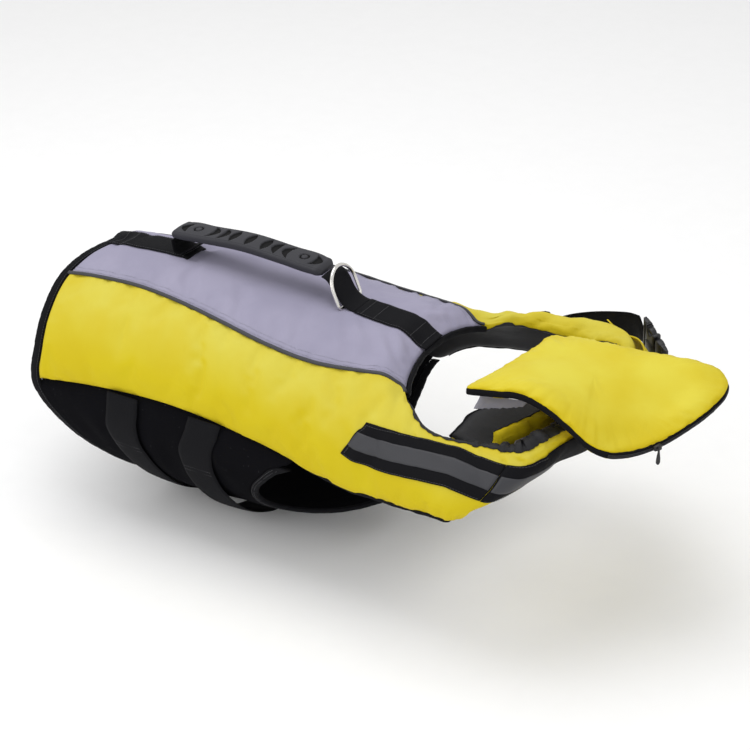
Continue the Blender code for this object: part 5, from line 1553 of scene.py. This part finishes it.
def add_rods(name, rods, axes, middle, node):
    """Several rods as one piece of plastic, turned to three axes about its middle."""
    fours, caps, count = [], [], 0
    for loops in rods:
        faces = rod_faces(*loops.shape[:2], False)
        fours.append(faces[0] + count)
        caps += [face + count for face in faces[1:]]
        count += loops.shape[0] * loops.shape[1]
    points = np.concatenate([loops.reshape(-1, 3) for loops in rods])
    places = np.concatenate([rod_places(loops).reshape(-1, 2) for loops in rods])
    return add_piece(name, points @ axes + middle, [np.concatenate(fours), np.concatenate(caps)],
                     black_plastic, "black_plastic", places, node=node, sharp=50)


def side_release(name, middle, along, width_axis, node, width):
    """A fastened side-release buckle: a socket with side windows, and a plug with two prongs."""
    up = unit(np.cross(along, width_axis))
    axes = np.stack([along, width_axis, up])
    back, front = -BUCKLE_LENGTH / 2 / MM, BUCKLE_LENGTH / 2 / MM
    half, deep = width / 2 / MM, BUCKLE_THICK / 2 / MM

    def plate(origin, *rows, wide=half, thick=deep, rise=0.0):
        """Rows of (along, half width, half thickness, corner, sideways, up), in mm.

        The two halves are shares of wide and thick, and the last two may be left out.
        """
        full = np.array([(*row, 0, 0)[:6] for row in rows]) * (1, wide, thick, 1, 1, 1)
        return lofted((full + (origin, 0, 0, 0, 0, rise)) * MM)

    socket = [
        # the shell, waisted behind its mouth where the prongs show
        plate(back, (9, 0.86, 0.55, 1.6), (9.6, 0.90, 0.8, 2), (12, 0.90, 0.97, 2.4),
              (15, 0.74, 1, 3), (18, 0.66, 1, 3.2), (21, 0.70, 1, 3), (24, 0.86, 1, 2.6),
              (26.5, 0.93, 1, 2.2), (28.6, 0.93, 0.95, 1.8), (29.4, 0.90, 0.85, 1.4)),
        # the raised rib down its middle
        plate(back, (12, 3.5, 0.9, 0.8, 0, -0.3), (14, 4.5, 0.9, 0.8), (25, 6.5, 0.9, 0.8),
              (27, 7, 0.5, 0.4, 0, -0.2), wide=1, thick=1, rise=deep),
    ]
    plug = [
        plate(front, (-21.6, 0.80, 0.70, 2), (-19, 0.86, 0.80, 2), (-15, 0.88, 0.84, 2),
              (-11, 0.88, 0.74, 2), (-9.6, 0.86, 0.5, 1.5)),
    ]
    for at, rise in ((1.9, 0), (8.4, 0.6)):      # the bars across each strap end
        socket.append(plate(back + at, (-1.5, 0.97, 0.32, 1), (-1.1, 1, 0.42, 1.3),
                            (1.1, 1, 0.42, 1.3), (1.5, 0.97, 0.32, 1), rise=rise))
    for at, rise in ((-1.8, 0), (-7.6, 0.9)):
        plug.append(plate(front + at, (-1.4, 0.86, 0.28, 1), (-1, 0.89, 0.38, 1.2),
                          (1, 0.89, 0.38, 1.2), (1.4, 0.86, 0.28, 1), rise=rise))
    for side in (-1, 1):      # the cheeks beside them, and the prongs' grips at the waist
        socket.append(plate(back, (0.8, 1.5, 0.4, 1, side * (half - 2)),
                            (4, 1.9, 0.55, 1.2, side * (half - 2.1)),
                            (11, 2.1, 0.8, 1.2, side * (half - 3.2)), wide=1))
        plug.append(plate(front, (-11, 1.9, 0.6, 1.1, side * (half * 0.88 - 2.2)),
                          (-4, 1.8, 0.5, 1.1, side * (half * 0.89 - 2)),
                          (-0.9, 1.3, 0.34, 0.9, side * (half * 0.88 - 2)), wide=1))
        plug.append(plate(back, (13.2, 1.0, 0.5, 0.9, side * half * 0.80),
                          (15.5, 2.0, 0.66, 1.2, side * half * 0.84),
                          (18.5, 2.4, 0.7, 1.3, side * half * 0.84),
                          (22, 2.0, 0.66, 1.2, side * half * 0.81),
                          (26, 1.0, 0.5, 0.9, side * half * 0.78), wide=1))
    add_rods(f"{name}_socket", socket, axes, middle, f"{node}_socket")
    add_rods(f"{name}_plug", plug, axes, middle, f"{node}_plug")


def girth_strap(name, strap, start, finish, node, seed):
    points, along, ups = strap_line(strap, start, finish, max(12, round(abs(finish - start) * 60)))
    q = np.linspace(-1, 1, 11)
    walk = np.arange(len(points)) * 2.4 * MM
    waver = gathers(walk, CREST, 38 * MM, 0.5 * MM, seed)[:, None, None]
    grid = points[:, None] + along[:, None] * q[None, :, None] * (BELLY_WEBBING / 2 + waver)
    sag = (0.8 * MM * (1 - q**2))[None, :] * np.sin(np.linspace(0, math.pi, len(points)))[:, None]
    grid = grid + ups[:, None] * sag[..., None]
    normals = np.broadcast_to(ups[:, None], grid.shape)
    add_strap(name, grid, normals, -WEBBING_HALF, WEBBING_HALF, webbing, "black_webbing", node)


seam = math.radians(85.2)
half_angle = (BUCKLE_LENGTH / 2 - 1 * MM) / (150 * MM)
for label, strap in BELLY_STRAPS.items():
    girth_strap(f"girth_strap_{label}", strap, 2 * math.pi - seam, BUCKLE_ANGLE + half_angle,
                f"belly_strap_{label}", 110)
    girth_strap(f"girth_strap_{label}_end", strap, BUCKLE_ANGLE - half_angle, seam,
                f"belly_strap_{label}_end", 111)
    points, along, ups = strap_line(strap, BUCKLE_ANGLE - 0.02, BUCKLE_ANGLE + 0.02, 3)
    side_release(f"girth_buckle_{label}", points[1] + ups[1] * 2.5 * MM,
                 unit(points[0] - points[2]), along[1], f"belly_buckle_{label}",
                 BELLY_WEBBING + 9 * MM)


# ------------------------------------------------------------------ reflective arm webbing
# 42 mm black webbing with a 17 mm reflective stripe woven down its middle, sewn along both
# edges to each arm. The right arm's piece ends over the chest strap, which carries on.

right, left = PADDING[RIGHT], PADDING[LEFT]
right_arm, left_arm = SIDES[RIGHT], SIDES[LEFT]
ARM_TOP = 1.9 * MM                   # how far the webbing's face stands over the cloth
CHEST_TOP = 1.8 * MM                 # the same for the chest strap
OVERLAP = 26.75                      # station where the right arm's webbing ends
STRAP_LEAVES = 29.0                  # station where the chest strap leaves the arm
STRAP_ENDS = 34.0


def stripe_over(name, grid, normals, base, node):
    """The stripe lies on the middle of the webbing, a hair above its face."""
    add_strap(name, grid, normals, base + 0.05 * MM, base + 0.5 * MM, reflective_tape,
              "reflective_tape", node)


BANDS = {      # stations of both ends, how far these lean, and by how many lines it lies lower
    RIGHT: (float(right_arm.station_of_x(183 * MM)), OVERLAP, (20 * MM, 16 * MM), 0),
    LEFT: (*(float(left_arm.station_of_x(x * MM)) for x in (183, 249)), (20 * MM, 0), 0.85),
}


def arm_band(which, columns):
    """Grid and normals of the webbing on one arm."""
    start, finish, leans, lower = BANDS[which]
    return PADDING[which].strip(start, finish, (1 + lower, 4 + lower), leans, columns)


for which, (start, finish, leans, lower) in BANDS.items():
    name, panel = SIDE_NAMES[which], SIDES[which]
    add_strap(f"arm_band_{name}", *arm_band(which, 15), 0.1 * MM, ARM_TOP, webbing,
              "black_webbing", f"arm_webbing_{name}")
    ends = panel.length_at([start, finish]) - 0.3 * np.array(leans) + [1 * MM, -0.4 * MM]
    stripe = PADDING[which].strip(*panel.station_at(ends), (2 + 0.7 * lower, 3 + lower),
                                  0.4 * np.array(leans), 9)
    stripe_over(f"arm_band_stripe_{name}", *stripe, ARM_TOP, f"arm_stripe_{name}")


# ------------------------------------------------------------------ chest strap and its buckle
# The same webbing runs on from the right arm across the chest, leaves the arm near its end
# and meets the left arm's strap in the front buckle. A thin yellow flap ends the right arm.

flap_start = right_arm.first_arm + FOAM_END[RIGHT] - 0.05
flap_rows = right_arm.stations(flap_start, right_arm.last, 3.6 * MM)
flap_share = columns_for(110 * MM)
flap = right_arm.at(flap_rows, flap_share)
flap_normals = grid_normals(flap, FOAM_FACING[RIGHT])
walks = edge_walks(flap)
wilt = 0.9 * MM * uneven(flap, 40 * MM, 120)
wilt += gathers(walks[0], np.min(walks[2:], axis=0), 10 * MM, 0.8 * MM, 121)
flap = flap + flap_normals * (wilt * ease(walks[0] / (12 * MM)) - 0.6 * MM)[..., None]
piece = add_shell("arm_end_flap", flap, flap - flap_normals * 1.4 * MM, yellow_cloth,
                  "yellow_cloth", painted_border_shade(walks), node="band_flap")


def chest_strip(start, finish, lines, leans, columns):
    """The strip on the right arm, extended over the flap, then lifted towards the buckle."""
    grid, normals, stations, shares = right.plain_strip(start, finish, lines, leans, columns)
    lying = right.stand_off(np.minimum(stations, right.rows[-4]), shares)
    free = np.clip((stations - STRAP_LEAVES) / (STRAP_ENDS - STRAP_LEAVES), 0, 1)
    lift = lying * (1 - ease(free * 3)) + 15 * MM * ease(free) ** 1.3
    return grid + normals * lift[..., None], normals


grid, normals = chest_strip(OVERLAP + 0.02, STRAP_ENDS, (1, 4), (16 * MM, 0), 15)
add_strap("chest_strap", grid, normals, 0.1 * MM, CHEST_TOP, webbing, "black_webbing",
          "front_strap")
grid, normals = chest_strip(OVERLAP - 0.12, STRAP_LEAVES + 0.3, (2, 3), (6.4 * MM, 0), 9)
stripe_over("chest_strap_stripe", grid, normals, CHEST_TOP, "front_stripe")

FRONT_BUCKLE = np.array([374.5, 149.5, -41.0]) * MM
FRONT_BUCKLE_AXIS = unit(np.array([0.76, -0.57, -0.32]))
FRONT_BUCKLE_UP = np.array([0.10, -0.35, 0.93])
buckle_up = unit(FRONT_BUCKLE_UP - FRONT_BUCKLE_AXIS * (FRONT_BUCKLE_UP @ FRONT_BUCKLE_AXIS))
side_release("chest_buckle", FRONT_BUCKLE, FRONT_BUCKLE_AXIS, buckle_up,
             "front_buckle", ARM_WEBBING + 10 * MM)

FRONT_STRAP_LEFT = table(      # top edge of the strap that leaves the left arm
    "x_mm y_mm z_mm", (250, 156, -40), (266, 165, -34), (290, 173, -28), (316, 179, -24),
    (332, 176, -20), (345, 171, -18),
)


def left_chest_strap():
    """The strap from the left arm to the front buckle, round the end of the right arm."""
    top = np.stack([FRONT_STRAP_LEFT[axis] for axis in "xyz"], axis=1)
    walked = walked_along(top[:, None], 0)[:, 0]
    top = smooth(walked, top, np.linspace(0, walked[-1], 48))
    ahead = unit(np.gradient(top, axis=0))
    turning = np.linspace(0, 1, len(top))[:, None]
    down = unit(mix(np.array([0, 0.5, -0.86]), -buckle_up, turning))
    down = unit(down - ahead * np.sum(down * ahead, axis=1, keepdims=True))
    outward = unit(np.cross(ahead, down))
    q = np.linspace(0, 1, 15)
    waver = gathers(walked_along(top[:, None], 0)[:, 0], CREST, 30 * MM, 0.6 * MM, 125)
    grid = top[:, None] + down[:, None] * (q[None, :, None] * (ARM_WEBBING + waver[:, None, None]))
    normals = np.broadcast_to(outward[:, None], grid.shape)
    add_strap("chest_strap_left", grid, normals, -WEBBING_HALF, WEBBING_HALF, webbing,
              "black_webbing", "front_strap_left")


left_chest_strap()


# ------------------------------------------------------------------ hook tape and grey tab
# Mauve-grey hook tape sewn on the end of the left arm, and a small soft grey tab of the
# matching loop tape under the float.

HOOK_THICK = 1.6 * MM


def hook_tape_finish():
    """A dense pile of tiny hooks in rows, lighter at their tips."""
    finish = Finish("hook_tape", Sheen_Weight=0.4, Sheen_Roughness=0.6, Specular_IOR_Level=0.3)
    across, along = finish.weave_places()
    rows = across.wave(1.1 * MM).size()
    tufts = finish.noise(1100.0, 2.0)
    colour = finish.blend(rows * 0.5 + tufts * 0.6, (0.17, 0.155, 0.175, 1), (0.37, 0.345, 0.38, 1))
    return finish.done(colour, 0.85 + tufts * 0.1, rows * 0.6 + tufts, 0.0006, 0.8)


hook_tape = hook_tape_finish()
ends = left_arm.station_at(left_arm.length_at(left.rows[-1]) - np.array([104, 22]) * MM)
grid, normals = left.strip(*ends, (1.5, 3.1), (0, 0), 15)
fuzz = 0.22 * MM * uneven(grid, 7 * MM, 130)
grid = grid + normals * fuzz[..., None]
add_strap("hook_tape_strip", grid, normals, 0.1 * MM, HOOK_THICK, hook_tape, "hook_tape",
          "hook_strip")

TAB = table(      # the tab under the float: upper edge, then lower edge
    "top_x_mm top_y_mm top_z_mm low_x_mm low_y_mm low_z_mm",
    (274, -62, -22, 271, -70, -37), (292, -64, -19, 289, -70, -31), (312, -66, -16, 308, -70, -25),
    (330, -68, -12, 325, -70, -19),
)
tab_ends = [np.stack([TAB[f"{edge}_{axis}"] for axis in "xyz"], axis=1) for edge in ("top", "low")]
walk = np.linspace(0, 3, 40)
top, low = (smooth(np.arange(4.0), edge, walk) for edge in tab_ends)
grid = np.stack([mix(top, low, share) for share in np.linspace(0, 1, 16)], axis=1)
grid_out = grid_normals(grid, 1)
frayed = gathers(np.arange(40) * 1.5 * MM, CREST, 5 * MM, 0.9 * MM, 131)[:, None, None]
grid[:, -1:] += unit(grid[:, -1:] - grid[:, -3:-2]) * frayed
grid += grid_out * (0.7 * MM * uneven(grid, 16 * MM, 132))[..., None]
# The third colour is the painted light on the faces that look up.
loop_tape = oxford_cloth("pale_loop", (0.24, 0.235, 0.275, 1), (0.32, 0.315, 0.36, 1),
                         (0.27, 0.265, 0.31, 1), 0.5 * MM)
half_thick = grid_out * HOOK_THICK / 2
piece = add_shell("soft_tab", grid + half_thick, grid - half_thick, loop_tape, "hook_tape",
                  node="chin_tab")


# ------------------------------------------------------------------ chin float
# The float that holds the dog's chin up: foam in yellow cloth, closed by a zip round its
# edge. It bends down at its right side. The zip's tape is black and its coil is turned in.

PAD_RIM = table(      # middle of the float's edge, from its rear right corner round by the front
    "x_mm y_mm z_mm",
    (271, -89, -7), (301, -92, -1), (333, -92, 4), (361, -93, -3), (385, -92, -17),
    (405, -88, -33), (420, -74, -45), (433, -56, -50), (452, -30, -48), (474, 0, -35),
    (487, 30, -25), (490, 52, -20), (486, 68, -17), (474, 77, -12), (452, 80, -10),
    (398, 80, -12), (342, 80, -15), (306, 80, -18), (293, 74, -18), (290, 58, -13),
    (289, 28, -10), (284, 0, -10), (278, -30, -11), (271, -60, -12), (268, -78, -11),
)
PAD_EDGE = 8.0 * MM           # height of the chin float's zipped edge
PAD_CROWN = 11.0 * MM         # rise of its faces over that edge
PAD_UNDER = 3 * MM            # how far the lower face swells
PAD_REACH = 90 * MM           # about as far as its middle is from its edge
PAD_RINGS = table(
    "share rise", (0.02, 1.0), (0.38, 1.0), (0.66, 0.95), (0.84, 0.78), (0.94, 0.47), (1.0, 0.0),
)
AROUND = 264


def pad_rim(inset=0.0, lift=0.0, count=AROUND):
    """The float's edge as a closed smooth loop of points, moved in and up."""
    corners = np.stack([PAD_RIM[axis] for axis in "xyz"], axis=1)
    ring = np.concatenate([corners[-3:], corners, corners[:4]])
    walked = np.concatenate([[0], np.cumsum(np.linalg.norm(np.diff(ring, axis=0), axis=1))])
    start, finish = walked[3], walked[3 + len(corners)]
    loop = smooth(walked, ring, np.linspace(start, finish, count + 1)[:-1])
    ahead = unit(np.roll(loop, -1, axis=0)[:, :2] - np.roll(loop, 1, axis=0)[:, :2])
    inward = np.column_stack([-ahead[:, 1], ahead[:, 0], np.zeros(len(loop))])
    up = np.multiply.outer(lift + 0 * loop[:, 0], [0, 0, 1.0])
    return loop + np.reshape(inset, (-1, 1)) * inward + up


def pad_height(points):
    """Height inside the float: a mean of its edge's heights, in which nearer ones count more."""
    rim = pad_rim(count=88)
    away = points[..., None, :2] - rim[:, :2]
    away = np.hypot(away[..., 0], 0.45 * away[..., 1])
    weight = 1 / (away**2 + (4 * MM) ** 2) ** 1.3
    return (weight @ rim[:, 2]) / weight.sum(axis=-1)


PAD_MIDDLE = np.array([372, -6, 0]) * MM
pad_share = 1 - np.concatenate([
    np.array([0, 0.6, 1.6, 3.0, 5.0, 7.5]) * MM / PAD_REACH, np.linspace(0.115, 0.98, 26),
])
rim_walk = walked_along(pad_rim()[:, None], 0)[:, 0]


def pad_face(side, swell, seed):
    """Rings from the float's edge to its middle on its upper (1) or lower (-1) face."""
    edge = pad_rim(1.2 * MM)
    share = pad_share[:, None]
    over = mix(0.006, 0.034, side > 0) * np.exp(-(((share - 0.968) / 0.022) ** 2))
    over *= ease((1 - share) / 0.012)      # the face hangs a little over its rim
    flat = mix(PAD_MIDDLE, edge, (share + over)[..., None])
    middle = mix(pad_height(flat), edge[:, 2], ease((share - 0.7) / 0.3))
    rise = smooth(PAD_RINGS["share"], PAD_RINGS["rise"], share)
    height = PAD_EDGE / 2 - 0.6 * MM + swell * rise
    inside = (1 - share) * PAD_REACH
    height = height + gathers(rim_walk, inside, 11 * MM, 0.65 * MM, seed)
    height = height + 0.9 * MM * uneven(flat, 70 * MM, seed + 1) * ease(inside / (20 * MM))
    grid = flat.copy()
    grid[..., 2] = middle + side * height
    return grid


def puffed(loops, most):
    """The float's rings after its cloth, pinned at its edge and 1.2 % too large, has settled."""
    thin = loops[:, ::3]
    rings, around = thin.shape[:2]
    held = np.arange(2 * around) + (rings // 2 - 1) * around
    moved = settled(thin, rod_faces(rings, around, False), held, 0.6, 0.012, most)
    moved = moved.reshape(thin.shape)
    moved = np.concatenate([moved, moved[:, :1]], axis=1).swapaxes(0, 1)
    return loops + smooth(np.arange(around + 1) * 3.0, moved, np.arange(around * 3)).swapaxes(0, 1)


# Rings from the middle of the float's top over its edge to the middle of its underside.
upper, lower = pad_face(1, PAD_CROWN, 140), pad_face(-1, PAD_UNDER, 150)
loops = puffed(np.concatenate([upper[::-1], lower]), 1.2 * MM)
# Painted shade towards the float's rim, where its faces round down.
border_shade = painted_border_shade([(1 - pad_share) * PAD_REACH])
border_shade = np.concatenate([border_shade[::-1], border_shade])
# The float is the same yellow cloth, made paler here by painted light; the third colour is the
# painted light on the faces that look up.
float_cloth = oxford_cloth("float_oxford", (0.66, 0.52, 0.010, 1), (0.61, 0.46, 0.009, 1),
                           (0.69, 0.61, 0.070, 1))
piece = add_piece("chin_float", loops, rod_faces(*loops.shape[:2], False), float_cloth,
                  "yellow_cloth", loops[..., :2], np.repeat(border_shade, AROUND), "chin_pad")

# The zip's tape round the edge: slack and ruffled towards the front right corner.
place = np.arange(AROUND) / AROUND
ruffle = mix(0.15, 1.0, np.exp(-(((place - 0.40) / 0.13) ** 2)))
wave = gathers(rim_walk, CREST, 9 * MM, 0.9 * MM, 160) * ruffle
outline = soft_strip(3.4 * MM, PAD_EDGE - 0.6 * MM, 24, 2.6)
loops = np.stack([
    pad_rim(1.5 * MM - out - wave * 0.6, up + wave * 0.5 - 0.5 * MM * ruffle) for out, up in outline
], axis=1)
add_rod("float_zip_tape", loops, grosgrain, "black_webbing", closed=True, node="chin_zip_band")


# ------------------------------------------------------------------ zip coil, slider and pull
# The nylon coil shows as two rows of small teeth on the tape's lower outer side. The slider
# stands at the front right corner, and a teardrop pull hangs from it on its own body.

SLIDER_PLACE = np.array([452, -30, -48]) * MM
PULL_LENGTH = 20 * MM


def repeated(name, unit_points, unit_faces, centres, axes, finish, slot):
    """One small shape repeated at every centre, turned by its own three axes."""
    count = len(unit_points)
    points = centres[:, None] + np.einsum("pk,nkj->npj", unit_points, axes)
    shift = (np.arange(len(centres)) * count)[:, None, None]
    faces = [(block[None] + shift).reshape(-1, block.shape[1]) for block in unit_faces]
    places = np.broadcast_to(unit_points[None, :, :2], points.shape[:2] + (2,))
    return add_piece(name, points, faces, finish, slot, places)


def pill(length, width, height, around=6):
    """A small rounded grain: four rings and flat ends, 36 faces or fewer."""
    turn = np.linspace(0, 2 * math.pi, around + 1)[:-1]
    rings = [(-0.5, 0.35), (-0.3, 1.0), (0.3, 1.0), (0.5, 0.35)]
    loops = np.stack([
        np.stack([np.full(around, a * length), r * width / 2 * np.cos(turn),
                  r * height / 2 * np.sin(turn)], -1) for a, r in rings
    ])
    return loops.reshape(-1, 3), rod_faces(4, around, False)


zip_loop = pad_rim(count=660)
place = np.arange(660) / 660
toothed = (place > 0.24) & (place < 0.60)
ahead = unit(np.roll(zip_loop, -1, axis=0) - np.roll(zip_loop, 1, axis=0))
outward = unit(np.cross(ahead, [0, 0, 1.0]))
up = np.cross(outward, ahead)
axes = np.stack([ahead, outward, up], axis=1)
coil = Finish("nylon_coil", Specular_IOR_Level=0.5)
shade = coil.noise(300.0)
coil_finish = coil.done(
    coil.blend(shade, (0.010, 0.010, 0.012, 1), (0.030, 0.030, 0.034, 1)), 0.35 + shade * 0.2,
)
both = [zip_loop[toothed] + (outward * 0.9 * MM + up * side * 0.75 * MM)[toothed]
        for side in (-1, 1)]
repeated("zip_coil", *pill(0.75 * MM, 1.0 * MM, 1.3 * MM), np.concatenate(both),
         np.concatenate([axes[toothed]] * 2), coil_finish, "black_webbing")

at = int(np.argmin(np.linalg.norm(zip_loop - SLIDER_PLACE, axis=1)))
slide_axes = np.stack([ahead[at], up[at], outward[at]])
slide_middle = zip_loop[at] + outward[at] * (GAP + 2.0 * MM)
add_rods("float_zip_slider", [lofted(np.array(rows) * MM) for rows in (
    ((-4.4, 1.6, 1.4, 0.8, 0, 0), (-3.4, 2.5, 1.8, 1, 0, 0), (0, 3.0, 2.0, 1.1, 0, 0),
     (3.2, 3.5, 1.8, 1, 0, 0), (4.4, 2.6, 1.2, 0.8, 0, 0)),
    ((-2.6, 0.5, 0.4, 0.3, 0, 1.9), (-1.6, 0.7, 0.7, 0.3, 0, 2.6), (0.6, 0.7, 0.7, 0.3, 0, 2.9),
     (2.2, 0.5, 0.4, 0.3, 0, 2.0)),
)], slide_axes, slide_middle, "zip_slider")

hinge = slide_middle + outward[at] * (2 * MM + GAP + 1.2 * MM) + up[at] * 1.5 * MM
side_way = unit(np.cross(outward[at], [0, 0, -1.0]))
front_way = unit(np.cross(side_way, [0, 0, -1.0]))
share = np.linspace(0, 1, 34)
half = smooth(np.array([0, 0.08, 0.25, 0.5, 0.75, 0.93, 1.0]),
              np.array([0.7, 1.0, 1.1, 1.9, 2.5, 1.9, 0.5]) * MM, share)
outline = soft_strip(2.0, 2.0, 20, 2.4)
dished = 1 - 0.45 * np.exp(-(((share - 0.72) / 0.13) ** 2))
thick = 0.9 * MM * np.minimum(1, half / MM) * dished
centres = hinge + np.array([0, 0, -1.0]) * (share[:, None] * PULL_LENGTH - 1 * MM)
loops = (
    centres[:, None] + half[:, None, None] * outline[:, :1] * side_way
    + thick[:, None, None] * outline[:, 1:] * front_way
)
add_rod("float_zip_pull", loops, black_plastic, "black_plastic", node="zip_pull", body="pull")


# ------------------------------------------------------------------ sewing
# Lock stitches about 3 mm long: double rows beside the piping on the grey, rows along the
# webbing's edges, bar tacks across the straps, and rows round the bindings and the float.

STITCH = 2.3 * MM
STITCH_PITCH = 3.1 * MM
TACK_PITCH = 2.7 * MM         # across webbing


def thread(name, dark, light):
    """Twisted polyester thread: a slanted twist and small differences from stitch to stitch."""
    finish = Finish(name, Sheen_Weight=0.2, Specular_IOR_Level=0.4)
    across, along = finish.weave_places()
    twist = ((across * 2600 + along * 1500).sine()).size()
    varied = finish.noise(190.0, 1.0)
    return finish.done(finish.blend(twist * 0.5 + varied * 0.5, dark, light), 0.55 + varied * 0.2,
                       twist, 0.00005, 0.6)


class Seam:
    """Collects rows of stitches of one thread, then makes them one piece."""

    def __init__(self, name, finish):
        self.name, self.finish = name, finish
        self.centres, self.axes = [], []

    def row(self, path, ups, lift=0.1 * MM, pitch=STITCH_PITCH):
        """Stitches along a path of points, with up vectors, lift above it."""
        walked = walked_along(path[:, None], 0)[:, 0]
        if walked[-1] < 2 * pitch:
            return
        places = (np.arange(int(walked[-1] / pitch)) + 0.5) * pitch
        centres, up = (smooth(walked, values, places) for values in (path, ups))
        ahead = unit(np.gradient(centres, axis=0))
        side = unit(np.cross(up, ahead))
        self.centres.append(centres + unit(up) * lift)
        self.axes.append(np.stack([ahead, side, np.cross(ahead, side)], axis=1))

    def made(self, slot):
        grain = pill(STITCH, 0.55 * MM, 0.5 * MM, 5)
        return repeated(self.name, *grain, np.concatenate(self.centres), np.concatenate(self.axes),
                        self.finish, slot)


def rows_at(face, normals, walk, distance):
    """Points and normals on a face at a distance in from one of its long edges."""
    column = column_of(np.abs(walk - walk[:, :1]) * 1.0, np.full((len(face), 1), distance))
    return across(face, column)[:, 0], across(normals, column)[:, 0]


grey_thread = thread("grey_thread", (0.21, 0.205, 0.26, 1), (0.32, 0.31, 0.39, 1))
grey_seam = Seam("grey_stitches", grey_thread)
for flipped in (1, -1):
    face, normals = back_face[:, ::flipped], back_normals[:, ::flipped]
    walk = walked_along(face, 1)
    for distance in (5.2 * MM, 9.6 * MM):
        grey_seam.row(*rows_at(face, normals, walk, distance), lift=0.05 * MM, pitch=2.6 * MM)
grey_seam.made("grey_cloth")

yellow_thread = thread("yellow_thread", (0.50, 0.36, 0.02, 1), (0.66, 0.52, 0.04, 1))
yellow_seam = Seam("yellow_stitches", yellow_thread)
for which, padding in PADDING.items():
    walk = walked_along(padding.face[:, ::-1], 1)
    path, ups = rows_at(padding.face[:, ::-1], padding.normals[:, ::-1], walk, 3.6 * MM)
    bound = padding.rows > SIDES[which].station_of_x(120 * MM)
    yellow_seam.row(path[bound], ups[bound], lift=0.05 * MM)
yellow_seam.made("yellow_cloth")

black_thread = thread("black_thread", (0.016, 0.016, 0.019, 1), (0.042, 0.042, 0.048, 1))
black_seam = Seam("black_stitches", black_thread)


def along_strip(grid, normals, height):
    """Rows along webbing, one point in from both of its long edges."""
    for column in (1, -2):
        path = grid[1:-1, column] + normals[1:-1, column] * height
        black_seam.row(path, normals[1:-1, column])


def across_strip(grid, normals, height, row):
    """A tack across webbing at one of its rows."""
    path = grid[row, 1:-1] + normals[row, 1:-1] * height
    black_seam.row(path, normals[row, 1:-1], pitch=TACK_PITCH)


for start, finish in ((-229, -112), (100, 186.5)):
    grid, normals = on_back(start * MM, finish * MM, WEBBING / 2, 101, 21)
    along_strip(grid, normals, SPINE_TOP)
    for row in (3, 9, -9, -4):
        across_strip(grid, normals, SPINE_TOP, row)
for which in BANDS:
    grid, normals = arm_band(which, 25)
    along_strip(grid, normals, ARM_TOP)
    across_strip(grid, normals, ARM_TOP, 1)
grid, normals = chest_strip(OVERLAP + 0.02, STRAP_LEAVES, (1, 4), (16 * MM, 0), 25)
along_strip(grid, normals, CHEST_TOP)
for strap in BELLY_STRAPS.values():
    for angles in ((250.5, 249.5), (248.4, 247.6)):
        points, along, ups = strap_line(strap, *np.radians(angles), 2)
        q = np.linspace(-0.88, 0.88, 30)[:, None]
        black_seam.row(points[0] + along[0] * q * BELLY_WEBBING / 2 + ups[0] * MM,
                       np.broadcast_to(ups[0], (30, 3)), pitch=TACK_PITCH)
hole = np.radians(np.linspace(97, 179, 130))
hems = [(TAIL_HEM, tail_angles, TAIL_BINDING - 1.6 * MM, mix(0.7 * MM, -0.9 * MM, in_foam))]
for edge, angles in ((LEG_HOLE_RIGHT, -hole), (LEG_HOLE_LEFT, hole)):
    hems += [(edge, angles, -BINDING + inset * MM, np.full(130, 0.7 * MM)) for inset in (1.8, 4.6)]
for edge, angles, inset, height in hems:
    points, _, ups = body_frame(hem_line(edge, angles, inset), angles)
    black_seam.row(points + ups * height[:, None], ups, lift=0.0)
black_seam.made("black_webbing")


# ------------------------------------------------------------------ floor, lights and camera
# A pale matt sheet under the jacket, three large soft lamps and a bright even room. The
# camera looks down on the jacket's right side, a little from the front.

FLOOR_Z = cad_box[0].z - 0.5 * MM
paper = Finish("pale_paper")
grain = paper.noise(40.0)
paper_finish = paper.done(
    paper.blend(grain, (0.93, 0.93, 0.93, 1), (0.96, 0.96, 0.96, 1)), 0.8 + grain * 0.1,
)
reach = np.array([[-6, -6], [6, -6], [6, 6], [-6, 6]], float)
mesh = bpy.data.meshes.new("floor")
mesh.from_pydata([(x, y, FLOOR_Z) for x, y in reach], [], [(0, 1, 2, 3)])
mesh.materials.append(paper_finish)
floor = bpy.data.objects.new("floor", mesh)
bpy.context.scene.collection.objects.link(floor)

world = bpy.data.worlds.new("room")
world.use_nodes = True
background = world.node_tree.nodes["Background"]
background.inputs["Color"].default_value = (1, 1, 1, 1)
background.inputs["Strength"].default_value = 0.78
bpy.context.scene.world = world
MIDDLE = Vector((0.115, 0, -0.073))


def lamp(name, place, size, power):
    """A square area lamp that faces the middle of the jacket."""
    light = bpy.data.lights.new(name, "AREA")
    light.size = size
    light.energy = power
    made = bpy.data.objects.new(name, light)
    made.location = MIDDLE + Vector(place)
    made.rotation_euler = (-Vector(place)).to_track_quat("-Z", "Y").to_euler()
    bpy.context.scene.collection.objects.link(made)


lamp("top_lamp", (-0.4, 0.1, 1.8), 1.3, 14)
lamp("side_lamp", (-0.9, -1.7, 0.9), 1.4, 9)
lamp("front_lamp", (1.8, -0.7, 1.0), 1.2, 4)

turn, tilt = math.radians(30), math.radians(28.5)
back_way = Vector((
    math.sin(turn) * math.cos(tilt), -math.cos(turn) * math.cos(tilt), math.sin(tilt),
))
lens = bpy.data.cameras.new("camera")
lens.lens, lens.sensor_width, lens.clip_start = 98.2, 36, 0.01
camera = bpy.data.objects.new("camera", lens)
camera.location = MIDDLE + back_way * 2.2
camera.rotation_euler = (-back_way).to_track_quat("-Z", "Y").to_euler()
bpy.context.scene.collection.objects.link(camera)
bpy.context.scene.camera = camera
bpy.context.scene.view_settings.view_transform = "Standard"

bpy.context.view_layer.update()
